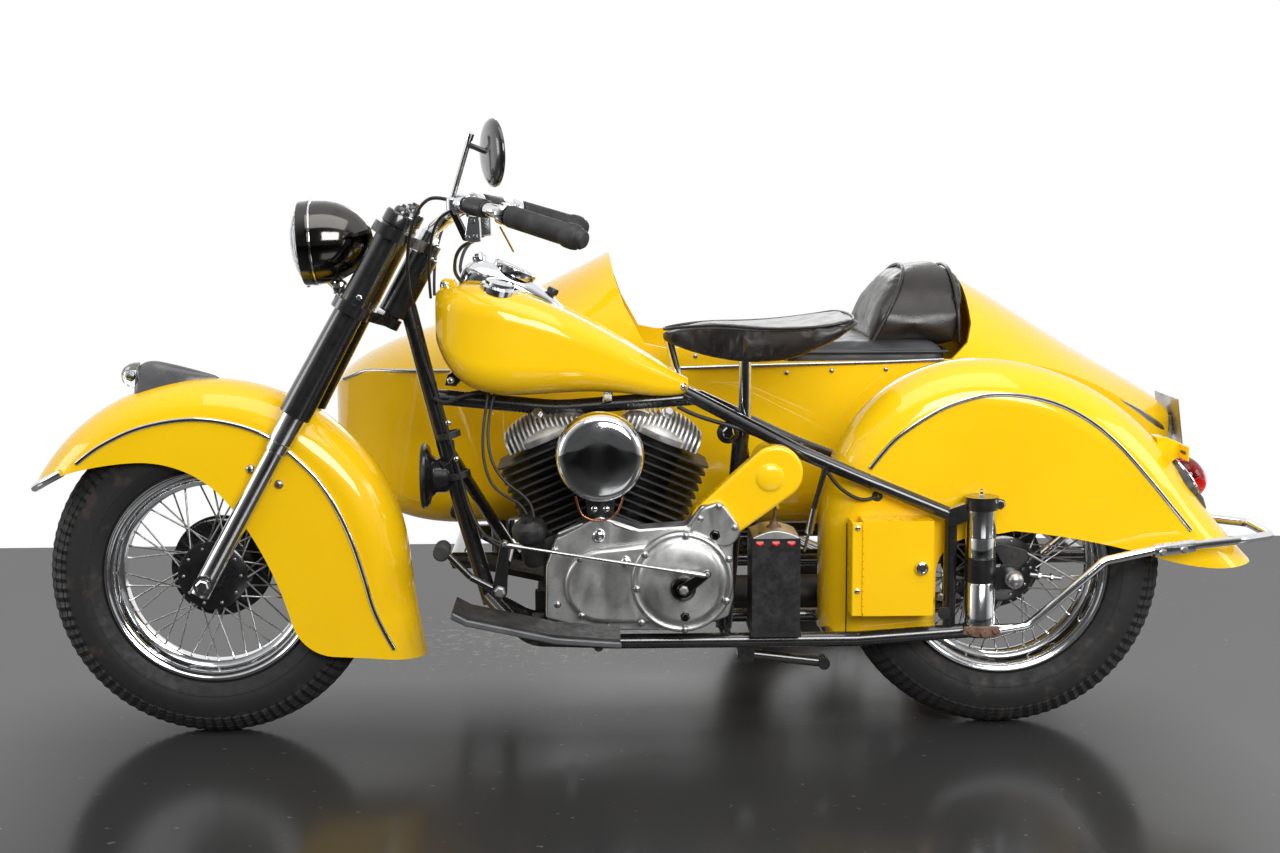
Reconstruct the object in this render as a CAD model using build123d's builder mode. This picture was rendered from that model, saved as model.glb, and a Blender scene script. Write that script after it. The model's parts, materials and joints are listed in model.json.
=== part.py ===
from build123d import *
from math import atan2, cos, radians, sin, sqrt, tan
import os

# A motorcycle with a boat-tailed sidecar on its right. The front of the machine faces -X,
# the rider's left faces -Y, the sidecar lies towards +Y and the floor is at z = 0. Millimetres.
# Places are given as x behind the front axle, y to the right of the motorcycle's mid plane
# and z above the floor. place() and the planes below turn them into the part's own frame.

os.makedirs("parts", exist_ok=True)

# ---- driving dimensions ----
front_axle_x = -905.0
bike_mid_y = -418.0
wheelbase = 1608.0
tyre_radius = 332.0
tyre_width = 127.0
rake = 29.0
fork_offset = 70.0
wall = 4.0

# wheels
rim_flange_radius = 217.0
rim_seat_radius = 204.0
rim_well_radius = 186.0
rim_width = 92.0
rim_thick = 4.0
seat_gap = 0.3
hub_radius = 28.0
hub_flange_radius = 46.0
hub_width = 104.0
hub_flange_thick = 5.0
axle_radius = 9.0
axle_clear = 0.3
spoke_radius = 2.0
spoke_count = 40
drum_radius = 100.0
drum_width = 34.0
plate_gap = 1.0
plate_thick = 6.0
sidecar_wheel_x = 1430.0
sidecar_wheel_y = 1140.0

# steering and fork
fork_leg_y = 110.0
slider_radius = 20.0
slider_top = 330.0
shroud_low_radius = 33.0
shroud_top_radius = 26.0
shroud_low = 386.0
shroud_top = 812.0
stem_radius = 16.0
stem_clear = 0.4
head_radius = 30.0
crown_reach = 24.0
head_low = 640.0
head_top = 775.0
clamp_thick = 22.0
clamp_gap = 5.0
lamp_ring_radius = 90.0
lamp_depth = 140.0
lamp_x = 194.0
lamp_z = 1001.0
lamp_dip = -1.0
bar_radius = 12.7
grip_radius = 18.0

# fenders
fender_half = 86.0
fender_drop = 76.0
shoulder_radius = 62.0
rear_fender_half = 92.0
rear_fender_drop = 84.0
rear_shoulder_radius = 68.0
leg_length = 14.0
sidecar_fender_radius = 398.0

# frame
rail_radius = 15.0
rail_y = 110.0
rail_z = 204.0
stay_radius = 14.0
plunger_x = 1545.0
plunger_y = 127.0
plunger_radius = 29.0
plunger_low = 236.0
plunger_top = 470.0

# engine
crank_x = 793.0
crank_z = 330.0
cylinder_lean = 22.5
crankcase_radius = 122.0
crankcase_half = 78.0
deck_height = 118.0
deck_half = 84.0
fin_count = 10
fin_pitch = 17.0
fin_thick = 4.0
fin_reach = 112.0
fin_half = 88.0
fin_corner = 30.0
barrel_radius = 56.0
head_height = 298.0
head_base = 14.0
head_fin_count = 8
head_fin_tall = 46.0
head_ceiling = 656.0
primary_face = 188.0
primary_plate = 148.0
clutch_x = 952.0
clutch_z = 338.0
guard_face = 134.0
generator_x = 1140.0
generator_z = 544.0

# toolbox, on the left of the rear fender
toolbox_front = 1306.0
toolbox_rear = 1446.0
toolbox_low = 261.0
toolbox_high = 452.0
toolbox_face = 156.0
toolbox_sheet = 2.0
door_thick = 5.0
door_gap = 0.5

# sidecar
tub_mid_y = 590.0
tub_wall = 12.0
sidecar_rail_near = 430.0
sidecar_rail_far = 780.0
sidecar_rail_z = 262.0
sidecar_rail_radius = 19.0
seat_shelf_z = 640.0
shelf_thick = 15.0
cushion_top = 755.0
rest_gap = 0.3

rear_axle_x = wheelbase
axle_z = tyre_radius
steer_x = fork_offset * cos(radians(rake))
steer_z = axle_z - fork_offset * sin(radians(rake))


# ---- places and planes ----
def place(x, y, z):
    return Vector(front_axle_x + x, bike_mid_y + y, z)


def side_plane(y):
    """Upright and lengthwise at y: sketch axes rearward and up, extruding to the left."""
    return Plane(origin=place(0, y, 0), x_dir=(1, 0, 0), z_dir=(0, -1, 0))


def cross_plane(x):
    """Upright and crosswise at x: sketch axes right and up, extruding rearward."""
    return Plane(origin=place(x, 0, 0), x_dir=(0, 1, 0), z_dir=(1, 0, 0))


def plan_plane(z):
    """Level at z: sketch axes rearward and right, extruding up."""
    return Plane(origin=place(0, 0, z), x_dir=(1, 0, 0), z_dir=(0, 0, 1))


def steer_place(back, right, along):
    """A point by its distance behind, right of and up along the steering axis."""
    lean = radians(rake)
    x = steer_x + back * cos(lean) + along * sin(lean)
    z = steer_z - back * sin(lean) + along * cos(lean)
    return place(x, right, z)


def steer_plane(along):
    """Square to the steering axis: sketch axes backward and right, extruding up the axis."""
    lean = radians(rake)
    return Plane(
        origin=steer_place(0, 0, along),
        x_dir=(cos(lean), 0, -sin(lean)),
        z_dir=(sin(lean), 0, cos(lean)),
    )


def aim(start, end):
    """A plane at start whose normal points to end."""
    return Plane(origin=start, z_dir=end - start)


# ---- shapes used by several pieces ----
def bar(points, radius, bend=60.0):
    """A round bar or tube, straight between points, with a bend at each inner one."""
    with BuildLine() as route:
        if len(points) == 2:
            Line(points[0], points[1])
        else:
            FilletPolyline(*points, radius=bend)
    path = route.wires()[0]
    with BuildSketch(Plane(origin=path @ 0, z_dir=path % 0)) as section:
        Circle(radius)
    sweep(section.sketch, path=path)


def rod(start, end, radius, end_radius=None):
    """A straight round rod, or a taper when end_radius is given."""
    length = (end - start).length
    low = (Align.CENTER, Align.CENTER, Align.MIN)
    with Locations(Location(aim(start, end))):
        if end_radius is None:
            Cylinder(radius, length, align=low)
        else:
            Cone(radius, end_radius, length, align=low)


def cross_rod(x, z, left_y, right_y, radius, mode=Mode.ADD):
    """A round bar straight across the machine from left_y to right_y."""
    with BuildSketch(side_plane(right_y)) as section:
        with Locations((x, z)):
            Circle(radius)
    extrude(section.sketch, amount=right_y - left_y, mode=mode)


def slab(outline, left_y, right_y, mode=Mode.ADD):
    """A plate with a straight-sided outline of (x, z) corners, between two y."""
    with BuildSketch(side_plane(right_y)) as section:
        with BuildLine():
            Polyline(*outline, close=True)
        make_face()
    extrude(section.sketch, amount=right_y - left_y, mode=mode)


def arc_chain(points, heading):
    """Arcs through points, each tangent to the one before; heading is the first direction."""
    heading = Vector(*heading).normalized()
    for start, end in zip(points, points[1:]):
        chord = (Vector(*end) - Vector(*start)).normalized()
        if (chord - heading).length < 0.001:
            Line(start, end)
        else:
            TangentArc(start, end, tangent=(heading.X, heading.Y))
        heading = chord * (2 * heading.dot(chord)) - heading


def arch_line(half, drop, shoulder, inset):
    """Three tangent arcs and two legs of a fender's cross-section, inset from its outside."""
    reach = half - shoulder
    crown = (drop**2 + reach**2 - shoulder**2) / (2 * (drop - shoulder))
    meet = (crown - inset) / (crown - shoulder)
    turn = (reach * meet, (crown - drop) * meet - crown)
    foot = (half - inset, -drop - leg_length)
    knee = (half - inset, -drop)
    Line((-foot[0], foot[1]), (-knee[0], knee[1]))
    TangentArc((-knee[0], knee[1]), (-turn[0], turn[1]), tangent=(0, 1))
    ThreePointArc((-turn[0], turn[1]), (0, -inset), turn)
    TangentArc(knee, turn, tangent=(0, 1))
    Line(foot, knee)


def fender(crown, heading, lower_runs, mid_y, half, drop, shoulder):
    """A fender: rounded crown swept along the crown points, flat sides down to the lower runs.

    Each lower run is a first heading and its points, and the next run starts where it ends."""
    high = 2 * wheelbase
    with BuildLine() as route:
        arc_chain(crown, heading)
    path = side_plane(mid_y).location * route.wires()[0]
    with BuildSketch(Plane(origin=path @ 0, x_dir=(0, 1, 0), z_dir=path % 0)) as arch:
        with BuildLine():
            arch_line(half, drop, shoulder, 0)
            arch_line(half, drop, shoulder, wall)
            for side in (-1, 1):
                Line(
                    (side * half, -drop - leg_length),
                    (side * (half - wall), -drop - leg_length),
                )
        make_face()
    sweep(arch.sketch, path=path)
    for right_y in (mid_y + half, mid_y - half + wall):
        with BuildSketch(side_plane(right_y)) as cheek:
            with BuildLine():
                arc_chain(crown, heading)
                Polyline(crown[-1], (crown[-1][0], -high), (crown[0][0], -high), crown[0])
            make_face()
            offset(amount=-drop - leg_length / 2)
        extrude(cheek.sketch, amount=wall)
    with BuildSketch(side_plane(mid_y + half + wall)) as kept:
        with BuildLine():
            for run_heading, run in lower_runs:
                arc_chain(run, run_heading)
            first, last = lower_runs[0][1][0], lower_runs[-1][1][-1]
            Polyline(last, (last[0], high), (first[0], high), first)
        make_face()
    extrude(kept.sketch, amount=2 * (half + wall), mode=Mode.INTERSECT)


def save(piece, name):
    piece.part.label = name
    export_step(piece.part, f"parts/{name}.step")
    print(name, len(piece.part.solids()), round(piece.part.volume))


# ---- wheels: tyre, wire wheel ----
def tyre_ring(x, y):
    """A tyre: its beads on the rim, its side walls, and a tread that is crowned in three flats."""
    bead_half = rim_width / 2 - rim_thick - 2
    bulge = tyre_width / 2
    shoulder = tyre_radius - 34
    side = [
        (bead_half, rim_seat_radius + seat_gap),
        (bead_half, rim_flange_radius + 4),
        (bulge, (rim_flange_radius + shoulder) / 2),
        (bulge - 13, shoulder + 10),
        (bulge * 0.4, tyre_radius),
    ]
    with BuildSketch(Plane(origin=place(x, y, axle_z), x_dir=(0, 1, 0), z_dir=(1, 0, 0))) as section:
        with BuildLine():
            Polyline(*side, *[(-out, radius) for out, radius in reversed(side)], close=True)
        make_face()
    revolve(section.sketch, axis=Axis(place(x, y, axle_z), (0, 1, 0)))


def wire_wheel(x, y):
    """Drop-centre rim, flanged hub and crossed spokes."""
    edge = rim_width / 2
    spin = Axis(place(x, y, axle_z), (0, 1, 0))
    plane = Plane(origin=place(x, y, axle_z), x_dir=(0, 1, 0), z_dir=(1, 0, 0))
    outer = [
        (-edge, rim_flange_radius),
        (-edge + rim_thick, rim_flange_radius),
        (-edge + rim_thick, rim_seat_radius),
        (-edge * 0.45, rim_seat_radius),
        (-edge * 0.3, rim_well_radius),
    ]
    inner = [
        (-edge * 0.3, rim_well_radius - rim_thick),
        (-edge * 0.5, rim_seat_radius - rim_thick),
        (-edge, rim_seat_radius - rim_thick),
    ]
    with BuildSketch(plane) as section:
        with BuildLine():
            left = outer + [(-y2, r2) for y2, r2 in reversed(outer)]
            right = [(-y2, r2) for y2, r2 in reversed(inner)] + inner
            Polyline(*left, *right, close=True)
        make_face()
    revolve(section.sketch, axis=spin)
    half = hub_width / 2
    with BuildSketch(plane) as section:
        with BuildLine():
            profile = [
                (-half, axle_radius + axle_clear),
                (half, axle_radius + axle_clear),
                (half, hub_radius),
                (half - 12, hub_radius),
                (half - 12, hub_flange_radius),
                (half - 12 - hub_flange_thick, hub_flange_radius),
                (half - 12 - hub_flange_thick, hub_radius),
                (-half + 12 + hub_flange_thick, hub_radius),
                (-half + 12 + hub_flange_thick, hub_flange_radius),
                (-half + 12, hub_flange_radius),
                (-half + 12, hub_radius),
                (-half, hub_radius),
            ]
            Polyline(*profile, close=True)
        make_face()
    revolve(section.sketch, axis=spin)
    for number in range(spoke_count):
        side = 1 if number % 2 else -1
        crossing = 62.0 if number % 4 < 2 else -62.0
        rim_angle = 360.0 * number / spoke_count
        hub_angle = rim_angle + crossing
        hub_end = radial(x, y + side * (half - 12 - hub_flange_thick / 2), hub_flange_radius - 5, hub_angle)
        rim_end = radial(x, y + side * 6, rim_well_radius - 1, rim_angle)
        rod(hub_end, rim_end, spoke_radius)


def radial(x, y, radius, angle):
    """A point round a wheel's axle, by radius and angle from the rear."""
    return place(x + radius * cos(radians(angle)), y, axle_z + radius * sin(radians(angle)))


def drum(x, left_y, right_y):
    """A brake drum or sprocket side, closed towards the hub."""
    cross_rod(x, axle_z, left_y, right_y, drum_radius)
    cross_rod(x, axle_z, left_y - 1, right_y + 1, axle_radius + axle_clear, mode=Mode.SUBTRACT)


wheel_places = {
    "front": (0, 0),
    "rear": (rear_axle_x, 0),
    "sidecar": (sidecar_wheel_x, sidecar_wheel_y),
}
for wheel_name, (wheel_x, wheel_y) in wheel_places.items():
    with BuildPart() as tyre:
        tyre_ring(wheel_x, wheel_y)
    save(tyre, f"{wheel_name}_tyre")
    with BuildPart() as wheel:
        wire_wheel(wheel_x, wheel_y)
    save(wheel, f"{wheel_name}_wire_wheel")

# The drums sit on the hub's right end, inboard of the fork leg and the right plunger.
drum_left = hub_width / 2 + 0.2
drum_right = drum_left + drum_width - 14
with BuildPart() as front_drum:
    drum(0, drum_left - 12, drum_right)
    cross_rod(0, axle_z, drum_left - 13, drum_left, hub_radius + 0.2, mode=Mode.SUBTRACT)
save(front_drum, "front_brake_drum")
with BuildPart() as rear_drum:
    drum(rear_axle_x, drum_left - 12, drum_right)
    cross_rod(rear_axle_x, axle_z, drum_left - 13, drum_left, hub_radius + 0.2, mode=Mode.SUBTRACT)
save(rear_drum, "rear_brake_drum")

# ---- steering: fork, axle, fender, lamps, handlebar ----
legs = (-fork_leg_y, fork_leg_y)
with BuildPart() as fork:
    for leg_y in legs:
        rod(steer_place(-fork_offset, leg_y, -26), steer_place(-fork_offset, leg_y, slider_top), slider_radius)
        rod(
            steer_place(-fork_offset, leg_y, slider_top - 4),
            steer_place(-fork_offset, leg_y, shroud_low),
            slider_radius + 5,
        )
        rod(
            steer_place(-fork_offset, leg_y, shroud_low - 2),
            steer_place(-fork_offset, leg_y, shroud_top),
            shroud_low_radius,
            shroud_top_radius,
        )
    for low in (head_low - clamp_gap - clamp_thick, head_top + clamp_gap):
        with BuildSketch(steer_plane(low)) as crown:
            with Locations((-fork_offset, -fork_leg_y), (-fork_offset, fork_leg_y)):
                Circle(shroud_low_radius + 6)
            with BuildLine():
                Polyline(
                    (-fork_offset - 26, -fork_leg_y),
                    (-fork_offset - 26, fork_leg_y),
                    (-fork_offset + 30, fork_leg_y),
                    (0, crown_reach),
                    (0, -crown_reach),
                    (-fork_offset + 30, -fork_leg_y),
                    close=True,
                )
            make_face()
            Circle(crown_reach)
        extrude(crown.sketch, amount=clamp_thick)
    rod(
        steer_place(0, 0, head_low - clamp_gap - 2),
        steer_place(0, 0, head_top + clamp_gap + 2),
        stem_radius,
    )
    cross_rod(0, axle_z, -fork_leg_y - 40, fork_leg_y + 40, axle_radius, mode=Mode.SUBTRACT)
save(fork, "fork")

with BuildPart() as front_axle:
    cross_rod(0, axle_z, -fork_leg_y - 34, fork_leg_y + 30, axle_radius)
    cross_rod(0, axle_z, -fork_leg_y - 30, -fork_leg_y - slider_radius - 0.2, 15)
    cross_rod(0, axle_z, fork_leg_y + slider_radius + 0.2, fork_leg_y + 28, 15)
    for near, far in ((-fork_leg_y + slider_radius + 0.2, -hub_width / 2 - 0.3),):
        cross_rod(0, axle_z, near, far, 13)
save(front_axle, "front_axle")

with BuildPart() as front_brake_plate:
    plate_left = drum_right + plate_gap
    cross_rod(0, axle_z, plate_left, plate_left + plate_thick, drum_radius + 4)
    cross_rod(0, axle_z, plate_left, fork_leg_y - slider_radius - 0.2, 24)
    cross_rod(0, axle_z, plate_left - 1, fork_leg_y, axle_radius, mode=Mode.SUBTRACT)
save(front_brake_plate, "front_brake_plate")

with BuildPart() as front_fender:
    fender(
        crown=[(-356, 519), (0, 731), (300, 594), (395, 380), (430, 152)],
        heading=(0.465, 0.886),
        lower_runs=[
            ((0.9, 0.44), [(-370, 512), (-140, 571), (50, 480), (165, 240), (250, 172), (450, 156)]),
        ],
        mid_y=0,
        half=fender_half,
        drop=fender_drop,
        shoulder=shoulder_radius,
    )
    # bolt bosses that meet the fork legs
    for boss_along in (190.0, 250.0):
        for side in (-1, 1):
            centre = steer_place(-fork_offset, 0, boss_along) - place(0, 0, 0)
            near, far = sorted((side * (fender_half - 2), side * (fork_leg_y - slider_radius + 3)))
            cross_rod(centre.X, centre.Z, near, far, 12)
    add(fork.part, mode=Mode.SUBTRACT)
save(front_fender, "front_fender")

lamp_outline = [(-181, 690), (-181, 722), (-155, 764), (-119, 768), (-49, 751), (24, 733), (24, 700)]
with BuildPart() as lamp_blank:
    slab(lamp_outline, -24, 24)
    add(front_fender.part, mode=Mode.SUBTRACT)
with BuildPart() as fender_lamp:
    add(lamp_blank.part.solids().sort_by(Axis.Z)[-1])
save(fender_lamp, "fender_lamp")

lamp_plane = Plane(
    origin=place(lamp_x, 0, lamp_z),
    x_dir=(0, 1, 0),
    z_dir=(cos(radians(lamp_dip)), 0, sin(radians(lamp_dip))),
)
with BuildPart() as headlamp:
    with BuildSketch(Plane(origin=lamp_plane.origin, x_dir=lamp_plane.z_dir, z_dir=(0, -1, 0))) as half_lamp:
        with BuildLine():
            ring = lamp_ring_radius
            ThreePointArc((-18, 0), (-12, ring / 2), (0, ring - 4))
            Polyline((0, ring - 4), (0, ring), (16, ring), (20, ring - 4))
            ThreePointArc((20, ring - 4), (0.68 * lamp_depth, 0.62 * ring), (lamp_depth, 0))
            Line((lamp_depth, 0), (-18, 0))
        make_face()
    revolve(half_lamp.sketch, axis=Axis(lamp_plane.origin, lamp_plane.z_dir))
    rod(place(262, 0, 935), steer_place(-fork_offset - 24, 0, head_low - clamp_gap - clamp_thick / 2), 11)
    add(fork.part, mode=Mode.SUBTRACT)
save(headlamp, "headlamp")

bar_centre = steer_place(-10, 0, head_top + clamp_gap + clamp_thick + 22)
bar_half = [place(496, 90, 1058), place(530, 200, 1080), place(592, 286, 1068), place(757, 390, 1017)]


def flip(point):
    """The same place on the other side of the motorcycle's mid plane."""
    return Vector(point.X, 2 * bike_mid_y - point.Y, point.Z)


with BuildPart() as handlebar:
    bar([flip(point) for point in reversed(bar_half)] + [bar_centre] + bar_half, bar_radius, 40)
    for riser_y in (-30, 30):
        rod(
            steer_place(-10, riser_y, head_top + clamp_gap + clamp_thick + 0.2),
            bar_centre + Vector(0, riser_y, 0),
            15,
        )
save(handlebar, "handlebar")

grip_start = bar_half[2] + (bar_half[3] - bar_half[2]) * 0.18
with BuildPart() as grips:
    for end_point, start_point in ((bar_half[3], grip_start), (flip(bar_half[3]), flip(grip_start))):
        beyond = end_point + (end_point - start_point).normalized() * 6
        rod(start_point, beyond, grip_radius)
        middle = start_point + (end_point - start_point) * 0.62
        rod(start_point, middle, grip_radius + 3)
    add(handlebar.part, mode=Mode.SUBTRACT)
save(grips, "grips")

mirror_foot = place(522, -190, 1093)
mirror_top = place(556, -232, 1208)
mirror_centre = place(586, -240, 1175)
with BuildPart() as mirror:
    rod(mirror_foot, mirror_top, 5)
    rod(mirror_top, mirror_centre, 5)
    facing = Vector(0.93, 0.36, 0.03).normalized()
    rod(mirror_centre - facing * 7, mirror_centre + facing * 7, 64)
    rod(mirror_foot - Vector(0, 0, 14), mirror_foot, 12)
    add(handlebar.part, mode=Mode.SUBTRACT)
save(mirror, "mirror")

# ---- frame ----
head_end_low = steer_place(0, 0, head_low)
head_end_top = steer_place(0, 0, head_top)
seat_cluster = place(985, 0, 684)
plunger_places = [place(plunger_x, side * plunger_y, plunger_low) for side in (-1, 1)]
with BuildPart() as frame:
    rod(head_end_low, head_end_top, head_radius)
    bar([steer_place(18, 0, head_low + 30), place(438, 0, 723), place(500, 0, 476), place(560, 0, 262)], 17, 200)
    bar([place(446, 0, 690), place(700, 0, 664), seat_cluster], 16, 400)
    bar([seat_cluster, place(1078, 0, 640), place(1040, 0, rail_z)], 17, 30)
    for side in (-1, 1):
        bar(
            [
                place(556, side * 6, 275),
                place(640, side * 90, rail_z + 2),
                place(820, side * rail_y, rail_z),
                place(1300, side * rail_y, rail_z),
                place(plunger_x, side * (plunger_y - 8), plunger_low - 14),
            ],
            rail_radius,
            70,
        )
        bar(
            [
                place(962, side * 16, 694),
                place(1190, side * 80, 580),
                place(1330, side * 110, 522),
                place(1500, side * (plunger_y - 4), 452),
            ],
            stay_radius,
            200,
        )
        rod(
            place(1486, side * (rail_y + 4), rail_z + 4),
            place(1486, side * (plunger_y - 8), 462),
            13,
        )
        # plunger lugs
        rod(
            place(plunger_x, side * plunger_y, plunger_low - 22),
            place(plunger_x, side * plunger_y, plunger_low),
            plunger_radius + 4,
        )
        rod(
            place(plunger_x, side * plunger_y, plunger_top),
            place(plunger_x, side * plunger_y, plunger_top + 26),
            plunger_radius + 5,
        )
        slab(
            [
                (1480, plunger_top + 2),
                (1480, plunger_top - 34),
                (1512, plunger_top - 24),
                (plunger_x, plunger_top),
                (plunger_x, plunger_top + 24),
            ],
            side * plunger_y - 12,
            side * plunger_y + 12,
        )
    for cross_x in (1040, 1250):
        cross_rod(cross_x, rail_z, -rail_y, rail_y, 12)
    rod(head_end_low, head_end_top, stem_radius + stem_clear)
    with Locations(Location(aim(head_end_low, head_end_top))):
        low = (Align.CENTER, Align.CENTER, Align.MIN)
        Cylinder(stem_radius + stem_clear, head_top - head_low, align=low, mode=Mode.SUBTRACT)
save(frame, "frame")

with BuildPart() as plungers:
    for side in (-1, 1):
        post_y = side * plunger_y
        rod(
            place(plunger_x, post_y, plunger_low + 0.2),
            place(plunger_x, post_y, plunger_top - 0.2),
            plunger_radius,
        )
        cross_y = sorted((post_y - 12, post_y + 12))
        slab(
            [(plunger_x, 312), (rear_axle_x, 308), (rear_axle_x + 22, 320), (rear_axle_x + 22, 344), (rear_axle_x, 356), (plunger_x, 352)],
            cross_y[0],
            cross_y[1],
        )
        cross_rod(rear_axle_x, axle_z, post_y - 14, post_y + 14, axle_radius, mode=Mode.SUBTRACT)
    add(frame.part, mode=Mode.SUBTRACT)
save(plungers, "plungers")

with BuildPart() as rear_axle:
    cross_rod(rear_axle_x, axle_z, -plunger_y - 34, plunger_y + 34, axle_radius)
    cross_rod(rear_axle_x, axle_z, -plunger_y - 28, -plunger_y - 12.2, 18)
    cross_rod(rear_axle_x, axle_z, plunger_y + 12.2, plunger_y + 28, 18)
    cross_rod(rear_axle_x, axle_z, -plunger_y + 12.2, -hub_width / 2 - 0.3, 14)
save(rear_axle, "rear_axle")

with BuildPart() as rear_brake_plate:
    cross_rod(rear_axle_x, axle_z, plate_left, plate_left + plate_thick, drum_radius + 4)
    cross_rod(rear_axle_x, axle_z, plate_left, plunger_y - 12.2, 24)
    cross_rod(rear_axle_x, axle_z, plate_left - 1, plunger_y, axle_radius, mode=Mode.SUBTRACT)
save(rear_brake_plate, "rear_brake_plate")

with BuildPart() as rear_fender:
    fender(
        crown=[(1234, 206), (1234, 430), (1359, 692), (1560, 760), (1854, 655), (1975, 527), (2126, 343)],
        heading=(0, 1),
        lower_runs=[
            ((1, 0), [(1200, 206), (1462, 206)]),
            ((0, 1), [(1462, 206), (1462, 330)]),
            ((0, 1), [(1462, 330), (1530, 405), (1620, 418)]),
            ((1, -0.1), [(1620, 418), (1924, 357), (2160, 345)]),
        ],
        mid_y=0,
        half=rear_fender_half,
        drop=rear_fender_drop,
        shoulder=rear_shoulder_radius,
    )
    add(frame.part, mode=Mode.SUBTRACT)
save(rear_fender, "rear_fender")

# ---- engine ----
def cylinder_plane(lean, height):
    """Square to a cylinder's axis: sketch axes along the lean and right, extruding outward."""
    turn = radians(lean)
    return Plane(
        origin=place(crank_x + height * sin(turn), 0, crank_z + height * cos(turn)),
        x_dir=(cos(turn), 0, -sin(turn)),
        z_dir=(sin(turn), 0, cos(turn)),
    )


def half_space(lean):
    """Everything on the far side of the engine's mid plane from a cylinder."""
    gap = 1.5
    if lean < 0:
        slab([(crank_x - gap, 0), (crank_x + 600, 0), (crank_x + 600, 900), (crank_x - gap, 900)], -300, 300, mode=Mode.SUBTRACT)
    else:
        slab([(crank_x - 600, 0), (crank_x + gap, 0), (crank_x + gap, 900), (crank_x - 600, 900)], -300, 300, mode=Mode.SUBTRACT)


deck_rise = deck_height / cos(radians(cylinder_lean))
foot_x = deck_height * sin(radians(cylinder_lean)) + deck_half * cos(radians(cylinder_lean))
foot_z = deck_height * cos(radians(cylinder_lean)) - deck_half * sin(radians(cylinder_lean))
with BuildPart() as crankcase:
    slab(
        [
            (crank_x, crank_z + deck_rise),
            (crank_x + foot_x, crank_z + foot_z),
            (crank_x + crankcase_radius, crank_z),
            (crank_x + crankcase_radius - 12, crank_z - 90),
            (crank_x - crankcase_radius + 12, crank_z - 90),
            (crank_x - crankcase_radius, crank_z),
            (crank_x - foot_x, crank_z + foot_z),
        ],
        -crankcase_half,
        crankcase_half,
    )
    # timing case on the right
    slab(
        [(690, 270), (900, 270), (930, 340), (900, 392), (820, 400), (700, 392), (672, 340)],
        crankcase_half - 1,
        crankcase_half + 44,
    )
    add(frame.part, mode=Mode.SUBTRACT)
save(crankcase, "crankcase")

with BuildPart() as barrels:
    for lean in (-cylinder_lean, cylinder_lean):
        with BuildPart(mode=Mode.PRIVATE) as one:
            with BuildSketch(cylinder_plane(lean, deck_height + 0.2)) as core:
                Circle(barrel_radius)
            extrude(core.sketch, amount=head_height - deck_height - 0.4)
            for number in range(fin_count):
                with BuildSketch(cylinder_plane(lean, deck_height + 10 + number * fin_pitch)) as fin:
                    RectangleRounded(2 * fin_reach, 2 * fin_half, fin_corner)
                extrude(fin.sketch, amount=fin_thick)
            half_space(lean)
        add(one.part)
save(barrels, "cylinder_barrels")

with BuildPart() as heads:
    for lean in (-cylinder_lean, cylinder_lean):
        with BuildPart(mode=Mode.PRIVATE) as one:
            with BuildSketch(cylinder_plane(lean, head_height)) as base:
                RectangleRounded(2 * 87, 2 * 84, 34)
            extrude(base.sketch, amount=head_base)
            with BuildSketch(cylinder_plane(lean, head_height + head_base)) as ribs:
                with GridLocations(20, 1, head_fin_count, 1):
                    Rectangle(5, 148)
            extrude(ribs.sketch, amount=head_fin_tall)
            with BuildSketch(cylinder_plane(lean, head_height + head_base)) as boss:
                Circle(34)
            extrude(boss.sketch, amount=head_fin_tall - 14)
            half_space(lean)
            slab([(0, head_ceiling), (1500, head_ceiling), (1500, 900), (0, 900)], -200, 200, mode=Mode.SUBTRACT)
        add(one.part)
    add(frame.part, mode=Mode.SUBTRACT)
save(heads, "cylinder_heads")

with BuildPart() as primary_cover:
    slab(
        [(676, 262), (735, 246), (800, 236), (960, 234), (1040, 262), (1054, 307), (1050, 390), (1056, 462),
         (1024, 498), (984, 490), (956, 452), (863, 440), (785, 470), (699, 420), (677, 361)],
        -primary_plate,
        -fin_half - 0.5,
    )
    slab([(686, 262), (960, 240), (1010, 262), (1010, 380), (690, 380)], -fin_half - 1, -crankcase_half - 0.2)
    cross_rod(786, crank_z, -primary_plate - 18, -primary_plate + 1, 63)
    cross_rod(clutch_x, clutch_z, -primary_face, -primary_plate + 1, 96)
    cross_rod(989, 357, -primary_face - 14, -primary_face + 1, 26)
    cross_rod(1012, 452, -primary_plate - 14, -primary_plate + 1, 44)
save(primary_cover, "primary_cover")

with BuildPart() as gearbox:
    slab(
        [(crank_x + crankcase_radius + 1, 246), (1006, 246), (1014, 300), (1014, 384), (crank_x + crankcase_radius + 1, 372)],
        -crankcase_half,
        76,
    )
    add(frame.part, mode=Mode.SUBTRACT)
save(gearbox, "gearbox")

with BuildPart() as generator:
    cross_rod(generator_x, generator_z, -92, 62, 40)
    add(frame.part, mode=Mode.SUBTRACT)
save(generator, "generator")

with BuildPart() as belt_guard:
    slab([(936, 440), (967, 486), (1112, 592), (1178, 524), (1062, 425), (1040, 405), (960, 405)], -guard_face, -94)
    cross_rod(generator_x, generator_z + 6, -guard_face, -94, 47)
    add(primary_cover.part, mode=Mode.SUBTRACT)
    add(frame.part, mode=Mode.SUBTRACT)
save(belt_guard, "belt_guard")

with BuildPart() as air_cleaner:
    cross_rod(786, 590, -232, -172, 85)
    cross_rod(786, 590, -174, -100, 30)
    cross_rod(786, 560, -104, -60, 22)
    add(barrels.part, mode=Mode.SUBTRACT)
    add(heads.part, mode=Mode.SUBTRACT)
save(air_cleaner, "air_cleaner")

with BuildPart() as distributor:
    rod(place(652, -116, 372), place(646, -118, 452), 25)
    add(primary_cover.part, mode=Mode.SUBTRACT)
    add(crankcase.part, mode=Mode.SUBTRACT)
    add(barrels.part, mode=Mode.SUBTRACT)
save(distributor, "distributor")

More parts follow.
